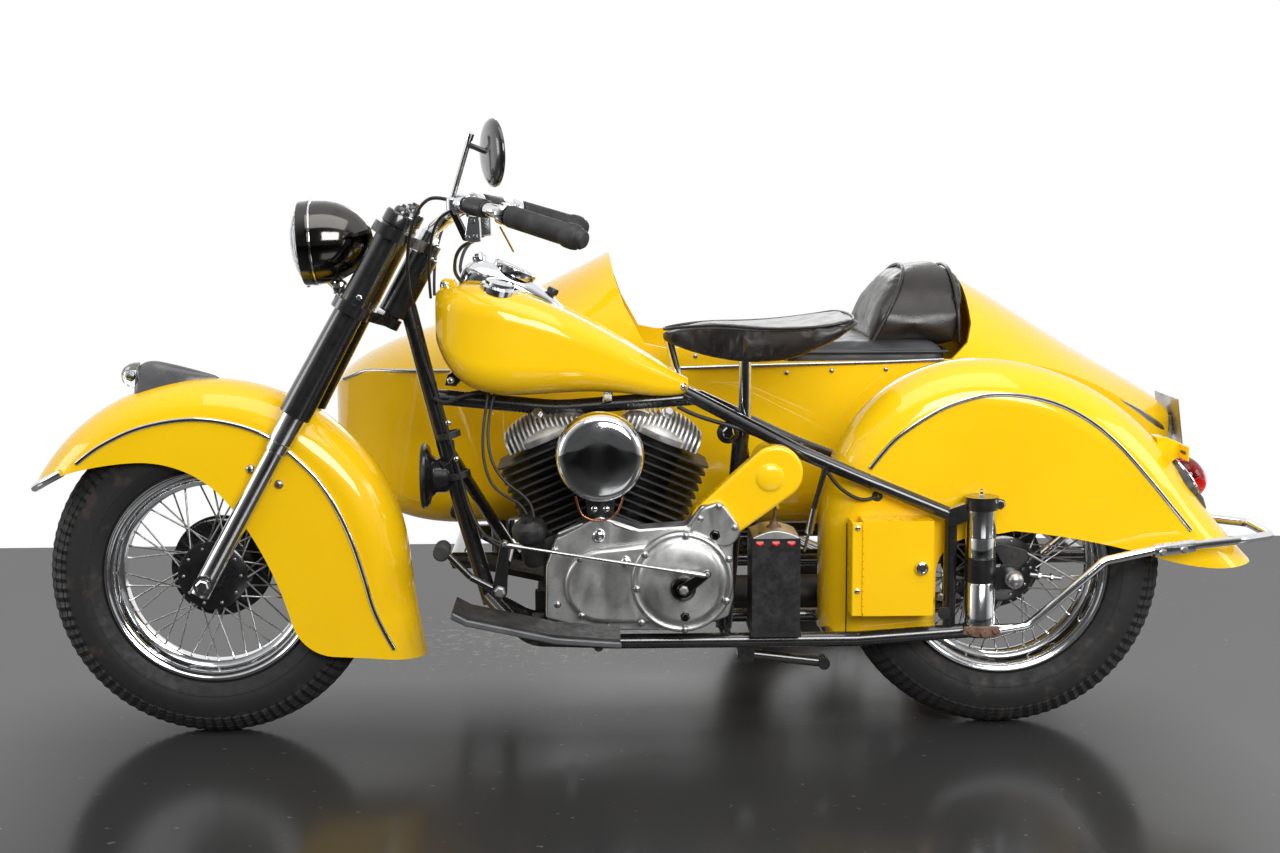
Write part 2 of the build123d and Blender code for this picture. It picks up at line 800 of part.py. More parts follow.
with BuildPart() as exhaust:
    bar([place(690, 84, 520), place(690, 150, 500), place(720, 190, 330), place(800, 200, 236), place(960, 200, 228)], 20, 45)
    bar([place(890, 84, 520), place(890, 150, 500), place(900, 196, 330), place(980, 200, 236)], 20, 45)
    rod(place(950, 200, 228), place(1000, 200, 228), 22, 42)
    rod(place(999, 200, 228), place(1380, 200, 228), 42)
    rod(place(1379, 200, 228), place(1420, 200, 228), 42, 18)
    add(barrels.part, mode=Mode.SUBTRACT)
    add(heads.part, mode=Mode.SUBTRACT)
    add(crankcase.part, mode=Mode.SUBTRACT)
save(exhaust, "exhaust")

# ---- tank, saddle ----
tank_sections = [
    # x, half width, bottom, top, corner
    (463, 74, 800, 904, 36),
    (530, 122, 716, 921, 58),
    (700, 118, 702, 876, 58),
    (850, 74, 696, 794, 38),
    (966, 24, 694, 724, 13),
]
with BuildPart() as fuel_tank:
    for x, half, bottom, top, corner in tank_sections:
        with BuildSketch(cross_plane(x)):
            with Locations((0, (bottom + top) / 2)):
                RectangleRounded(2 * half, top - bottom, corner)
    loft()
    add(frame.part, mode=Mode.SUBTRACT)
save(fuel_tank, "fuel_tank")

with BuildPart() as dash_console:
    slab([(500, 880), (512, 925), (540, 958), (589, 960), (669, 925), (724, 866), (724, 830)], -52, 52)
    add(fuel_tank.part, mode=Mode.SUBTRACT)
    slab([(400, 600), (400, 800), (900, 800), (900, 600)], -60, 60, mode=Mode.SUBTRACT)
save(dash_console, "dash_console")

with BuildPart() as saddle:
    with BuildSketch(side_plane(160)):
        with BuildLine():
            arc_chain([(914, 822), (1060, 832), (1306, 852)], (1, 0.2))
            arc_chain([(1306, 852), (1190, 786), (1085, 766), (914, 806)], (-1, -0.75))
            Line((914, 806), (914, 822))
        make_face()
    extrude(amount=320)
    with BuildSketch(plan_plane(700)):
        with BuildLine():
            for side in (-1, 1):
                nose = [(912, 0), (940, side * 36)]
                flank = [(940, side * 36), (1090, side * 96), (1215, side * 160), (1306, side * 62), (1308, 0)]
                arc_chain(nose, (0, side))
                arc_chain(flank, (1, side * 0.1))
        make_face()
    extrude(amount=240, mode=Mode.INTERSECT)
save(saddle, "saddle")

with BuildPart() as seat_post:
    rod(place(1083, 0, 640), place(1083, 0, 775), 13)
    rod(place(950, 0, 712), place(925, 0, 812), 9)
    add(fuel_tank.part, mode=Mode.SUBTRACT)
    add(saddle.part, mode=Mode.SUBTRACT)
    add(frame.part, mode=Mode.SUBTRACT)
save(seat_post, "seat_post")

# ---- fittings on the frame and the rear fender ----
with BuildPart() as battery:
    slab([(1086, 231), (1182, 231), (1182, 418), (1086, 418)], -150, -34)
    slab([(1084, 219.2), (1184, 219.2), (1184, 230.8), (1084, 230.8)], -152, -32)
    slab([(1100, 418), (1112, 418), (1112, 428), (1100, 428)], -140, -128)
    add(frame.part, mode=Mode.SUBTRACT)
save(battery, "battery")

inner_face = rear_fender_half + 0.2
with BuildPart() as toolbox:
    slab(
        [(toolbox_front, toolbox_low), (toolbox_rear, toolbox_low), (toolbox_rear, toolbox_high), (toolbox_front, toolbox_high)],
        -toolbox_face + door_thick + door_gap,
        -inner_face,
    )
    slab(
        [
            (toolbox_front + toolbox_sheet, toolbox_low + toolbox_sheet),
            (toolbox_rear - toolbox_sheet, toolbox_low + toolbox_sheet),
            (toolbox_rear - toolbox_sheet, toolbox_high - toolbox_sheet),
            (toolbox_front + toolbox_sheet, toolbox_high - toolbox_sheet),
        ],
        -toolbox_face,
        -inner_face - toolbox_sheet,
        mode=Mode.SUBTRACT,
    )
    add(frame.part, mode=Mode.SUBTRACT)
save(toolbox, "toolbox")

with BuildPart() as toolbox_door:
    slab(
        [(toolbox_front, toolbox_low), (toolbox_rear, toolbox_low), (toolbox_rear, toolbox_high), (toolbox_front, toolbox_high)],
        -toolbox_face,
        -toolbox_face + door_thick,
    )
    cross_rod(toolbox_rear - 20, (toolbox_low + toolbox_high) / 2, -toolbox_face - 6, -toolbox_face + 1, 11)
save(toolbox_door, "toolbox_door")

with BuildPart() as horn:
    rod(place(414, 0, 527), place(452, 0, 527), 62)
    rod(place(451, 0, 527), place(486, 0, 527), 14)
    add(frame.part, mode=Mode.SUBTRACT)
save(horn, "horn")

with BuildPart() as footboards:
    for side in (-1, 1):
        near, far = sorted((side * 195, side * 305))
        slab([(505, 318), (533, 303), (700, 266), (822, 256), (822, 244), (698, 253), (528, 290), (500, 306)], near, far)
        near, far = sorted((side * (rail_y - 2), side * 290))
        cross_rod(660, 254, near, far, 9)
        cross_rod(780, 238, near, far, 9)
        near, far = sorted((side * (rail_y - 12), side * (rail_y + 12)))
        slab([(648, 262), (648, 206), (672, 206), (672, 262)], near, far)
        slab([(768, 246), (768, 206), (792, 206), (792, 246)], near, far)
    add(frame.part, mode=Mode.SUBTRACT)
    add(primary_cover.part, mode=Mode.SUBTRACT)
    add(exhaust.part, mode=Mode.SUBTRACT)
save(footboards, "footboards")

with BuildPart() as foot_pedals:
    for side in (-1, 1):
        near, far = sorted((side * 200, side * 250))
        rod(place(480, near, 416), place(480, far, 416), 14)
        rod(place(483, side * 210, 412), place(533, side * 210, 360), 7)
        rod(place(533, side * 210, 360), place(589, side * 210, 330), 7)
        near, far = sorted((side * 60, side * 216))
        cross_rod(589, 330, near, far, 10)
    add(frame.part, mode=Mode.SUBTRACT)
    add(crankcase.part, mode=Mode.SUBTRACT)
save(foot_pedals, "foot_pedals")

with BuildPart() as clutch_rod:
    rod(place(600, -214, 424), place(989, -214, 357), 4)
    rod(place(596, -214, 332), place(600, -214, 426), 8)
    add(primary_cover.part, mode=Mode.SUBTRACT)
    add(foot_pedals.part, mode=Mode.SUBTRACT)
save(clutch_rod, "clutch_rod")

with BuildPart() as bumper:
    near_half = [
        place(1566, -144, 224),
        place(1640, -146, 236),
        place(1790, -146, 366),
        place(1900, -142, 388),
        place(2070, -126, 402),
        place(2152, -70, 400),
    ]
    bar(near_half + [flip(point) for point in reversed(near_half)], 9, 34)
    add(frame.part, mode=Mode.SUBTRACT)
    add(rear_fender.part, mode=Mode.SUBTRACT)
save(bumper, "bumper")

with BuildPart() as tail_lamp:
    rod(place(1985, 0, 494), place(2012, 0, 513), 34)
    rod(place(2011, 0, 512), place(2030, 0, 526), 30, 18)
    add(rear_fender.part, mode=Mode.SUBTRACT)
    slab([(1700, 300), (1700, 700), (1880, 620), (1975, 522), (2070, 400), (2070, 300)], -60, 60, mode=Mode.SUBTRACT)
save(tail_lamp, "tail_lamp")

with BuildPart() as plate_bracket:
    slab([(1926, 588), (1930, 594), (2004, 570), (2002, 558), (1985, 552), (1960, 535)], -42, -38)
    slab([(1926, 588), (1930, 594), (2004, 570), (2002, 558), (1985, 552), (1960, 535)], 38, 42)
    slab([(1996, 572), (2006, 569), (2002, 553), (1992, 556)], -42, 42)
    add(rear_fender.part, mode=Mode.SUBTRACT)
    slab([(1700, 300), (1700, 740), (1850, 660), (1975, 530), (2070, 400), (2070, 300)], -60, 60, mode=Mode.SUBTRACT)
save(plate_bracket, "plate_bracket")

with BuildPart() as side_stand:
    rod(place(1078, -84, 170), place(1240, -92, 152), 11)
    rod(place(1236, -110, 152), place(1236, -74, 152), 12)
    cross_rod(1078, 170, -102, -66, 17)
save(side_stand, "side_stand")
with BuildPart() as stand_bracket:
    slab([(1058, 196), (1098, 196), (1092, 158), (1064, 158)], -110, -102.4)
    slab([(1058, 196), (1098, 196), (1092, 158), (1064, 158)], -65.6, -58)
    slab([(1058, 204), (1098, 204), (1098, 195), (1058, 195)], -110, -58)
    add(frame.part, mode=Mode.SUBTRACT)
save(stand_bracket, "stand_bracket")

# ---- sidecar ----
hull_rows = [
    # x, half width, bottom, belt, top
    (182, 45, 545, 640, 655),
    (215, 115, 455, 682, 702),
    (300, 180, 385, 700, 750),
    (520, 245, 355, 704, 826),
    (830, 274, 349, 708, 966),
    (960, 278, 348, 711, 1010),
]
tail_rows = [
    (960, 278, 348, 711, 1010),
    (1280, 278, 348, 716, 985),
    (1600, 258, 354, 722, 905),
    (1830, 200, 395, 690, 768),
    (2040, 105, 470, 590, 645),
    (2128, 34, 508, 545, 585),
]


def hull_section(x, half, bottom, belt, top, inset):
    """One station of the sidecar's body: flat floor, round bilges, upright sides, arched top."""
    corner = 0.3 * half * (1 if inset == 0 else 0.85)
    h, b, t = half - inset, bottom + inset, top - inset
    with BuildSketch(cross_plane(x)) as station:
        with BuildLine():
            mid = tub_mid_y
            Line((mid - h, belt), (mid - h, b + corner))
            TangentArc((mid - h, b + corner), (mid - h + corner, b), tangent=(0, -1))
            Line((mid - h + corner, b), (mid + h - corner, b))
            TangentArc((mid + h - corner, b), (mid + h, b + corner), tangent=(1, 0))
            Line((mid + h, b + corner), (mid + h, belt))
            ThreePointArc((mid + h, belt), (mid, t), (mid - h, belt))
        make_face()
    return station.sketch.faces()[0]


with BuildPart() as shell:
    loft([hull_section(*row, 0) for row in hull_rows])
    loft([hull_section(*row, 0) for row in tail_rows])
    with BuildPart(mode=Mode.PRIVATE) as inside:
        loft([hull_section(x + tub_wall * (x < 200), *rest, tub_wall) for x, *rest in hull_rows])
        loft([hull_section(x - tub_wall * (x > 2100), *rest, tub_wall) for x, *rest in tail_rows])
    add(inside.part, mode=Mode.SUBTRACT)
    slab(
        [(812, 1300), (812, 960), (824, 905), (845, 845), (888, 766), (930, 757), (1120, 757), (1200, 724),
         (1570, 726), (1608, 760), (1622, 800), (1622, 1300)],
        tub_mid_y - 400,
        tub_mid_y + 400,
        mode=Mode.SUBTRACT,
    )
belt_side = [(100, 640), (182, 645), (300, 700), (520, 704), (830, 708), (1600, 722), (1830, 690), (2040, 590), (2200, 520)]
with BuildPart() as sidecar_tub:
    add(shell.part)
    slab([(100, 0)] + belt_side + [(2200, 0)], tub_mid_y - 400, tub_mid_y + 400, mode=Mode.INTERSECT)
    slab([(1195, seat_shelf_z - shelf_thick), (1600, seat_shelf_z - shelf_thick), (1600, seat_shelf_z), (1195, seat_shelf_z)],
         tub_mid_y - 262, tub_mid_y + 262)
    slab([(1195, 355), (1210, 355), (1210, seat_shelf_z), (1195, seat_shelf_z)], tub_mid_y - 190, tub_mid_y + 190)
save(sidecar_tub, "sidecar_tub")
with BuildPart() as sidecar_deck:
    add(shell.part)
    slab([(100, 1200)] + belt_side + [(2200, 1200)], tub_mid_y - 400, tub_mid_y + 400, mode=Mode.INTERSECT)
save(sidecar_deck, "sidecar_deck")

with BuildPart() as cushion:
    slab([(1200, seat_shelf_z + rest_gap), (1568, seat_shelf_z + rest_gap), (1568, cushion_top), (1200, cushion_top)],
         tub_mid_y - 245, tub_mid_y + 245)
    fillet(cushion.edges(), 24)
save(cushion, "sidecar_cushion")
with BuildPart() as backrest:
    low = cushion_top + rest_gap
    with BuildSketch(side_plane(tub_mid_y + 200)):
        with BuildLine():
            Polyline((1390, low), (1425, 839), (1470, 906), (1515, 927), (1564, 930), (1612, 908), (1612, 852), (1592, low), close=True)
        make_face()
    extrude(amount=400)
    with BuildSketch(cross_plane(1300)):
        with BuildLine():
            Polyline((tub_mid_y + 190, low), (tub_mid_y - 190, low))
            Line((tub_mid_y - 190, low), (tub_mid_y - 190, low + 60))
            ThreePointArc((tub_mid_y - 190, low + 60), (tub_mid_y, 932), (tub_mid_y + 190, low + 60))
            Line((tub_mid_y + 190, low + 60), (tub_mid_y + 190, low))
        make_face()
    extrude(amount=400, mode=Mode.INTERSECT)
save(backrest, "sidecar_backrest")

with BuildPart() as sidecar_chassis:
    for rail_at in (sidecar_rail_near, sidecar_rail_far):
        rod(place(450, rail_at, sidecar_rail_z), place(1900, rail_at, sidecar_rail_z), sidecar_rail_radius)
    for cross_x in (460, 1482, 1890):
        cross_rod(cross_x, sidecar_rail_z, sidecar_rail_near, sidecar_rail_far, sidecar_rail_radius - 2)
    # links to the motorcycle's frame
    rod(place(720, rail_y, rail_z), place(720, sidecar_rail_near, sidecar_rail_z - 16), 16)
    rod(place(1482, rail_y, rail_z), place(1482, sidecar_rail_near, sidecar_rail_z), 16)
    rod(place(471.4, 0, 590), place(600, sidecar_rail_near, sidecar_rail_z), 13)
    rod(place(1074.5, 0, 600), place(1150, sidecar_rail_near, sidecar_rail_z), 13)
    for post_x, post_top in ((560, 360), (1480, 355), (1700, 372)):
        for post_y in (sidecar_rail_near + 10, sidecar_rail_far - 10):
            rod(place(post_x, post_y, sidecar_rail_z), place(post_x, post_y, post_top), 20)
    rod(
        place(sidecar_wheel_x, sidecar_rail_far, sidecar_rail_z),
        place(sidecar_wheel_x, sidecar_wheel_y - 86, axle_z),
        20,
    )
    # fender stays
    for stay_x in (sidecar_wheel_x - 180, sidecar_wheel_x + 180):
        rod(place(stay_x, sidecar_rail_far, sidecar_rail_z), place(stay_x, sidecar_wheel_y - fender_half, 600), 11)
    for piece in (frame, sidecar_tub, exhaust):
        add(piece.part, mode=Mode.SUBTRACT)
save(sidecar_chassis, "sidecar_chassis")

with BuildPart() as sidecar_axle:
    cross_rod(sidecar_wheel_x, axle_z, sidecar_wheel_y - 90, sidecar_wheel_y + 70, axle_radius)
    cross_rod(sidecar_wheel_x, axle_z, sidecar_wheel_y - 80, sidecar_wheel_y - hub_width / 2 - 0.3, 14)
    cross_rod(sidecar_wheel_x, axle_z, sidecar_wheel_y + hub_width / 2 + 0.3, sidecar_wheel_y + 68, 14)
    add(sidecar_chassis.part, mode=Mode.SUBTRACT)
save(sidecar_axle, "sidecar_axle")

reach = sidecar_fender_radius
side_x = sidecar_wheel_x
with BuildPart() as sidecar_fender:
    fender(
        crown=[
            (side_x - reach * cos(radians(6)), axle_z + reach * sin(radians(6))),
            (side_x, axle_z + reach),
            (side_x + reach * cos(radians(6)), axle_z + reach * sin(radians(6))),
        ],
        heading=(sin(radians(6)), cos(radians(6))),
        lower_runs=[
            ((0.93, 0.37), [(side_x - 420, axle_z + 90), (side_x, axle_z + 150), (side_x + 420, axle_z + 90)]),
        ],
        mid_y=sidecar_wheel_y,
        half=fender_half,
        drop=fender_drop,
        shoulder=shoulder_radius,
    )
    add(sidecar_chassis.part, mode=Mode.SUBTRACT)
save(sidecar_fender, "sidecar_fender")
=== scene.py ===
"""Looks of the sidecar motorcycle: finishes, tyres, soft parts, cables, trim and small fittings."""

import json
from math import cos, hypot, pi, radians, sin, tau

import bmesh
import bpy
from mathutils import Matrix, Vector
from mathutils.bvhtree import BVHTree


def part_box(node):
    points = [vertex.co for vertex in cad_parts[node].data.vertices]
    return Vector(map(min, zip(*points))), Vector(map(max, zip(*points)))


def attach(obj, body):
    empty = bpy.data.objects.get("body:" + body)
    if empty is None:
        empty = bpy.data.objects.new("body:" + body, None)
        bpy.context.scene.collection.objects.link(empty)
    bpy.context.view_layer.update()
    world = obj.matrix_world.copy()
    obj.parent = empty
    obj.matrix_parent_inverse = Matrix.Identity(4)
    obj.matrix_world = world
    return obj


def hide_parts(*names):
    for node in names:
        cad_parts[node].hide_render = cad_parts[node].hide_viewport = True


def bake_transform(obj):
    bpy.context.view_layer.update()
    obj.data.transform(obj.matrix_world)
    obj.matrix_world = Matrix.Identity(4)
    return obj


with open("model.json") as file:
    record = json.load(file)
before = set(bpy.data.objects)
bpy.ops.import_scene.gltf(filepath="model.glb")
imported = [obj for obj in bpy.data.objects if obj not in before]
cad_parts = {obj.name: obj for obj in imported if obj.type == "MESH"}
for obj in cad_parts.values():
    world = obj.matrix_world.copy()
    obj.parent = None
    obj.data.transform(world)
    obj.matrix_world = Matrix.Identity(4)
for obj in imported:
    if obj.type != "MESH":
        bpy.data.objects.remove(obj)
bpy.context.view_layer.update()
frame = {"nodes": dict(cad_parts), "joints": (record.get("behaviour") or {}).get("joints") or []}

# Camera. It stands about 3.8 m off the rider's left, a little higher than the tank, and looks slightly
# down. Places are told from the front axle, as on the machine itself.
axles = {joint["name"]: Vector(joint["pos_m"]) for joint in frame["joints"]}
front_axle = axles["front_wheel_spin"]
rear_axle = axles["rear_wheel_spin"]
sidecar_axle = axles["sidecar_wheel_spin"]


def at(back, right, up):
    """A point in metres, from millimetres behind the front axle, right of the wheels and above the floor."""
    return Vector((front_axle.x + back / 1000, front_axle.y + right / 1000, up / 1000))


def shown(thing):
    """Puts a thing in the scene."""
    bpy.context.scene.collection.objects.link(thing)
    return thing


camera_yaw = 0.0261872
camera_pitch = 0.1323
camera_roll = -0.00476
camera = shown(bpy.data.objects.new("camera", bpy.data.cameras.new("camera")))
camera.data.sensor_width = 36
camera.data.lens = 52.888
ahead = Vector(
    (sin(camera_yaw) * cos(camera_pitch), cos(camera_yaw) * cos(camera_pitch), -sin(camera_pitch))
)
level = Vector((cos(camera_yaw), -sin(camera_yaw), 0))
across = level * cos(camera_roll) + level.cross(ahead) * sin(camera_roll)
upward = across.cross(ahead)
camera.matrix_world = Matrix.Translation(
    at(769.3, -3800, 1130.4)
) @ Matrix((across, upward, -ahead)).transposed().to_4x4()
camera.data.clip_end = 60
bpy.context.scene.camera = camera
bpy.context.scene.view_settings.view_transform = "Standard"

# Floor and light. A polished black studio floor with scattered scuffs, which ends
# against a white wall; a pale patch of scuffs under the engine is a painted reflection of the white backdrop,
# and a zone of lowered gloss just in front of the machine is painted shade. Two wide soft boxes above and
# before the machine, low ones at its ends, and a white surround.


def tree_node(tree, kind, inputs=None, **settings):
    """A node in the tree. An input that is another node's output is linked, and any other is set."""
    made = tree.nodes.new(kind)
    for name, value in settings.items():
        setattr(made, name, value)
    for name, value in (inputs or {}).items():
        if isinstance(value, bpy.types.NodeSocket):
            tree.links.new(value, made.inputs[name])
        else:
            made.inputs[name].default_value = value
    return made


def shader_node(material, kind, inputs=None, **settings):
    return tree_node(material.node_tree, "ShaderNode" + kind, inputs, **settings)


def worked(material, operation, first, second=0.0):
    return shader_node(material, "Math", {0: first, 1: second}, operation=operation).outputs[0]


def product(material, first, second):
    return worked(material, "MULTIPLY", first, second)


def remap(material, value, low, high, to_low, to_high):
    """The value, carried from low..high to to_low..to_high and held at the ends."""
    sizes = {"Value": value, "From Min": low, "From Max": high, "To Min": to_low, "To Max": to_high}
    return shader_node(material, "MapRange", sizes).outputs[0]


floor_reach = 9.0
floor_end = at(0, 1965, 0).y
floor_mesh = bpy.data.meshes.new("floor")
floor_mesh.from_pydata(
    [
        (-floor_reach, -floor_reach, 0), (floor_reach, -floor_reach, 0), (floor_reach, floor_end, 0),
        (-floor_reach, floor_end, 0),
    ],
    [], [(0, 1, 2, 3)],
)
floor = shown(bpy.data.objects.new("floor", floor_mesh))
floor_paint = bpy.data.materials.new("polished_floor")
floor_paint.use_nodes = True
floor_mesh.materials.append(floor_paint)
floor_paint.node_tree.nodes.remove(floor_paint.node_tree.nodes["Principled BSDF"])
floor_place = shader_node(floor_paint, "TexCoord").outputs["Object"]
clouds, specks = (
    shader_node(
        floor_paint, "TexNoise", {"Vector": floor_place, "Scale": scale, "Detail": detail},
    ).outputs[0]
    for scale, detail in ((1.6, 6.0), (42.0, 7.0))
)
# Scuff specks thicken into a pale patch under the engine. The patch is a painted reflection of the white
# backdrop seen between the wheels.
from_engine = shader_node(
    floor_paint, "Mapping", {"Vector": floor_place, "Location": (0.20, -0.55, 0), "Scale": (1.0, 1.6, 1)},
)
patch = shader_node(
    floor_paint, "VectorMath", {0: from_engine.outputs[0]}, operation="LENGTH",
).outputs["Value"]
painted_reflection_near_engine = remap(floor_paint, patch, 0.15, 0.75, 0.20, 0.0)
scuffs_and_painted_reflection = remap(floor_paint, worked(floor_paint, "ADD", specks, painted_reflection_near_engine), 0.68, 0.84, 0, 1)
shine = remap(floor_paint, clouds, 0.3, 0.7, 0.12, 0.22)
spread = shader_node(floor_paint, "SeparateXYZ", {0: floor_place}).outputs
# Painted shade: in a zone just in front of the machine the floor's gloss colour is lowered, standing in for
# its shadow and the blurred reflection of its dark underside.
aside = worked(floor_paint, "ABSOLUTE", worked(floor_paint, "ADD", spread[0], 0.17))
deep = remap(floor_paint, spread[1], -0.05, -0.5, 0, 1)
painted_shade_zone = product(floor_paint, remap(floor_paint, aside, 0.8, 1.35, 1, 0), deep)
lit = remap(floor_paint, spread[1], -3.6, -1.6, 0, 1)
grey = product(floor_paint, remap(floor_paint, scuffs_and_painted_reflection, 0, 1, 0.03, 0.22), lit)
mirrored = remap(floor_paint, painted_shade_zone, 0, 1, 0.19, 0.07)
matte = shader_node(floor_paint, "BsdfDiffuse", {"Color": grey})
gloss = shader_node(floor_paint, "BsdfGlossy", {"Color": mirrored, "Roughness": shine})
both = shader_node(floor_paint, "AddShader", {0: matte.outputs[0], 1: gloss.outputs[0]})
floor_paint.node_tree.links.new(
    both.outputs[0], floor_paint.node_tree.nodes["Material Output"].inputs["Surface"],
)

surround = bpy.data.worlds.new("surround")
bpy.context.scene.world = surround
surround.use_nodes = True
sky = surround.node_tree.nodes["Background"]
rays = shader_node(surround, "LightPath")
seen = worked(surround, "MAXIMUM", rays.outputs["Is Camera Ray"], rays.outputs["Is Glossy Ray"])
seen_or_through = worked(surround, "MAXIMUM", seen, rays.outputs["Is Transmission Ray"])
heading = shader_node(surround, "SeparateXYZ", {0: shader_node(surround, "TexCoord").outputs["Generated"]})
room = remap(surround, heading.outputs[1], -0.8, -0.1, 0.08, 1.0)
room_seen = worked(surround, "MAXIMUM", room, rays.outputs["Is Camera Ray"])
strength = remap(surround, seen_or_through, 0, 1, 0.40, room_seen)
surround.node_tree.links.new(strength, sky.inputs["Strength"])
sky.inputs["Color"].default_value = (1, 1, 1, 1)

for name, place, aimed_at, width, height, power in (
    ("top_box", (0.2, -1.6, 3.6), (0, 0, 0.5), 3.4, 2.2, 52),
    ("front_box", (1.2, -4.6, 2.5), (0.1, 0, 0.5), 2.6, 1.8, 165),
    ("nose_box", (-4.0, -1.0, 1.6), (-0.6, 0, 0.6), 1.4, 1.4, 24),
    ("tail_box", (3.8, -1.6, 2.0), (0.6, 0, 0.6), 1.6, 1.4, 26),
    ("far_box", (0.6, 4.2, 2.4), (0, 0.2, 0.6), 2.0, 1.4, 26),
):
    lamp = shown(bpy.data.objects.new(name, bpy.data.lights.new(name, "AREA")))
    lamp.data.shape = "RECTANGLE"
    lamp.data.size = width
    lamp.data.size_y = height
    lamp.data.energy = power
    lamp.location = place
    lamp.rotation_euler = (Vector(aimed_at) - Vector(place)).to_track_quat("-Z", "Y").to_euler()

# Yellow enamel. Tank, fenders, toolbox, guards and the sidecar are pressed steel under many coats of solid
# yellow and a polished clear coat. It waves slightly over the panels, and road film has settled low down.


def new_finish(name, colour, metallic=0.0, roughness=0.5, **sockets):
    """A material and its shader, with what is the same all over set on the shader's own sockets."""
    material = bpy.data.materials.new(name)
    material.use_nodes = True
    shader = material.node_tree.nodes["Principled BSDF"]
    shader.inputs["Base Color"].default_value = (*colour, 1)
    shader.inputs["Metallic"].default_value = metallic
    shader.inputs["Roughness"].default_value = roughness
    for socket, value in sockets.items():
        shader.inputs[socket.replace("_", " ")].default_value = value
    return material, shader


def wire(material, output, shader, socket):
    material.node_tree.links.new(output, shader.inputs[socket])


def noise(material, scale, detail=3.0, stretch=(1, 1, 1), distortion=0.0):
    """Soft noise in the piece's own place, about 0.5 on average."""
    where = shader_node(material, "TexCoord")
    turned = shader_node(material, "Mapping", {"Vector": where.outputs["Object"], "Scale": stretch})
    made = shader_node(
        material, "TexNoise",
        {"Vector": turned.outputs[0], "Scale": scale, "Detail": detail, "Distortion": distortion},
    )
    return made.outputs[0]


def mixed(material, share, first, second):
    """One colour into another, each a colour or another node's output."""
    made = shader_node(material, "Mix", {0: share}, data_type="RGBA")
    for socket, value in ((6, first), (7, second)):
        if isinstance(value, bpy.types.NodeSocket):
            material.node_tree.links.new(value, made.inputs[socket])
        else:
            made.inputs[socket].default_value = (*value, 1)
    return made.outputs[2]


def bumped(material, shader, height, strength, depth):
    made = shader_node(material, "Bump", {"Height": height, "Strength": strength, "Distance": depth})
    wire(material, made.outputs[0], shader, "Normal")
    return made


def low_down(material, top):
    """1 at the floor, falling to 0 at the height top, in metres."""
    where = shader_node(material, "TexCoord")
    parted = shader_node(material, "SeparateXYZ", {0: where.outputs["Object"]})
    return remap(material, parted.outputs[2], 0.12, top, 1.0, 0.0)


def enamel(name, colour, shade, film, film_share, film_top, under_gloss):
    """Gloss enamel: two tones that drift over the panels, fine waviness, and road film low down."""
    material, shader = new_finish(
        name, colour, roughness=0.28, Coat_Weight=1.0, Coat_Roughness=0.035, Specular_IOR_Level=under_gloss,
    )
    body_colour = mixed(material, remap(material, noise(material, 2.6), 0.35, 0.65, 0.0, 1.0), colour, shade)
    dusty = product(
        material, low_down(material, film_top),
        remap(material, noise(material, 38, 6), 0.42, 0.7, 0.0, film_share),
    )
    wire(material, mixed(material, dusty, body_colour, film), shader, "Base Color")
    wire(material, remap(material, noise(material, 60, 5), 0.3, 0.75, 0.22, 0.36), shader, "Roughness")
    bumped(material, shader, noise(material, 120, 2), 0.012, 0.0004)
    return material


yellow_enamel = enamel(
    "yellow_enamel", (0.96, 0.60, 0.006), (0.93, 0.55, 0.004), (0.50, 0.36, 0.10), 0.08, 0.42, 0.12,
)
black_enamel = enamel(
    "black_enamel", (0.006, 0.006, 0.007), (0.010, 0.010, 0.011), (0.06, 0.056, 0.05), 0.3, 0.34, 0.5,
)


def dress(material, *names):
    """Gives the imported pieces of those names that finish."""
    for name in names:
        frame["nodes"][name].material_slots[0].material = material


dress(
    yellow_enamel, "fuel_tank", "front_fender", "rear_fender", "toolbox", "toolbox_door", "belt_guard",
    "generator", "plate_bracket", "sidecar_tub", "sidecar_deck", "sidecar_fender",
)
dress(
    black_enamel, "frame", "fork", "front_brake_plate", "rear_brake_plate", "front_brake_drum",
    "rear_brake_drum", "horn", "sidecar_chassis", "stand_bracket", "side_stand", "foot_pedals", "distributor",
)

# Bright metal. Bars, rims and lamp bowls are chromed steel, polished, with faint smears and pin-prick
# pitting; axles, nuts and rods are plain turned steel, and the cases are sand-cast aluminium, buffed where
# a hand reaches.


def bright(name, colour, low, high, smear_scale, pit=0.0):
    """Metal whose polish varies from low to high roughness in long soft smears."""
    material, shader = new_finish(name, colour, metallic=1.0)
    smears = noise(material, smear_scale, 5, (1, 1, 0.35), 0.4)
    wire(material, remap(material, smears, 0.35, 0.72, low, high), shader, "Roughness")
    stained = remap(material, noise(material, smear_scale * 7, 4), 0.5, 0.78, 0.0, 0.5)
    wire(
        material, mixed(material, stained, colour, tuple(0.62 * part for part in colour)), shader,
        "Base Color",
    )
    bumped(material, shader, noise(material, 900, 2), 0.02 + pit, 0.0004)
    return material


chrome = bright("chrome", (0.80, 0.81, 0.83), 0.03, 0.16, 14)
turned_steel = bright("turned_steel", (0.46, 0.455, 0.45), 0.24, 0.48, 30, 0.04)
cast_aluminium = bright("cast_aluminium", (0.60, 0.60, 0.59), 0.30, 0.52, 22, 0.16)
dress(chrome, "plungers", "handlebar", "headlamp", "dash_console", "bumper", "air_cleaner", "seat_post")
dress(
    turned_steel, "front_axle", "rear_axle", "sidecar_axle", "clutch_rod", "front_wire_wheel",
    "rear_wire_wheel", "sidecar_wire_wheel",
)
dress(cast_aluminium, "primary_cover", "gearbox")

# Iron and the dull blacks. The barrels are iron under heat-proof black, the crankcase is cast and
# oil-stained; rubber grips and boards, the ebonite battery and the lamp housings are moulded.


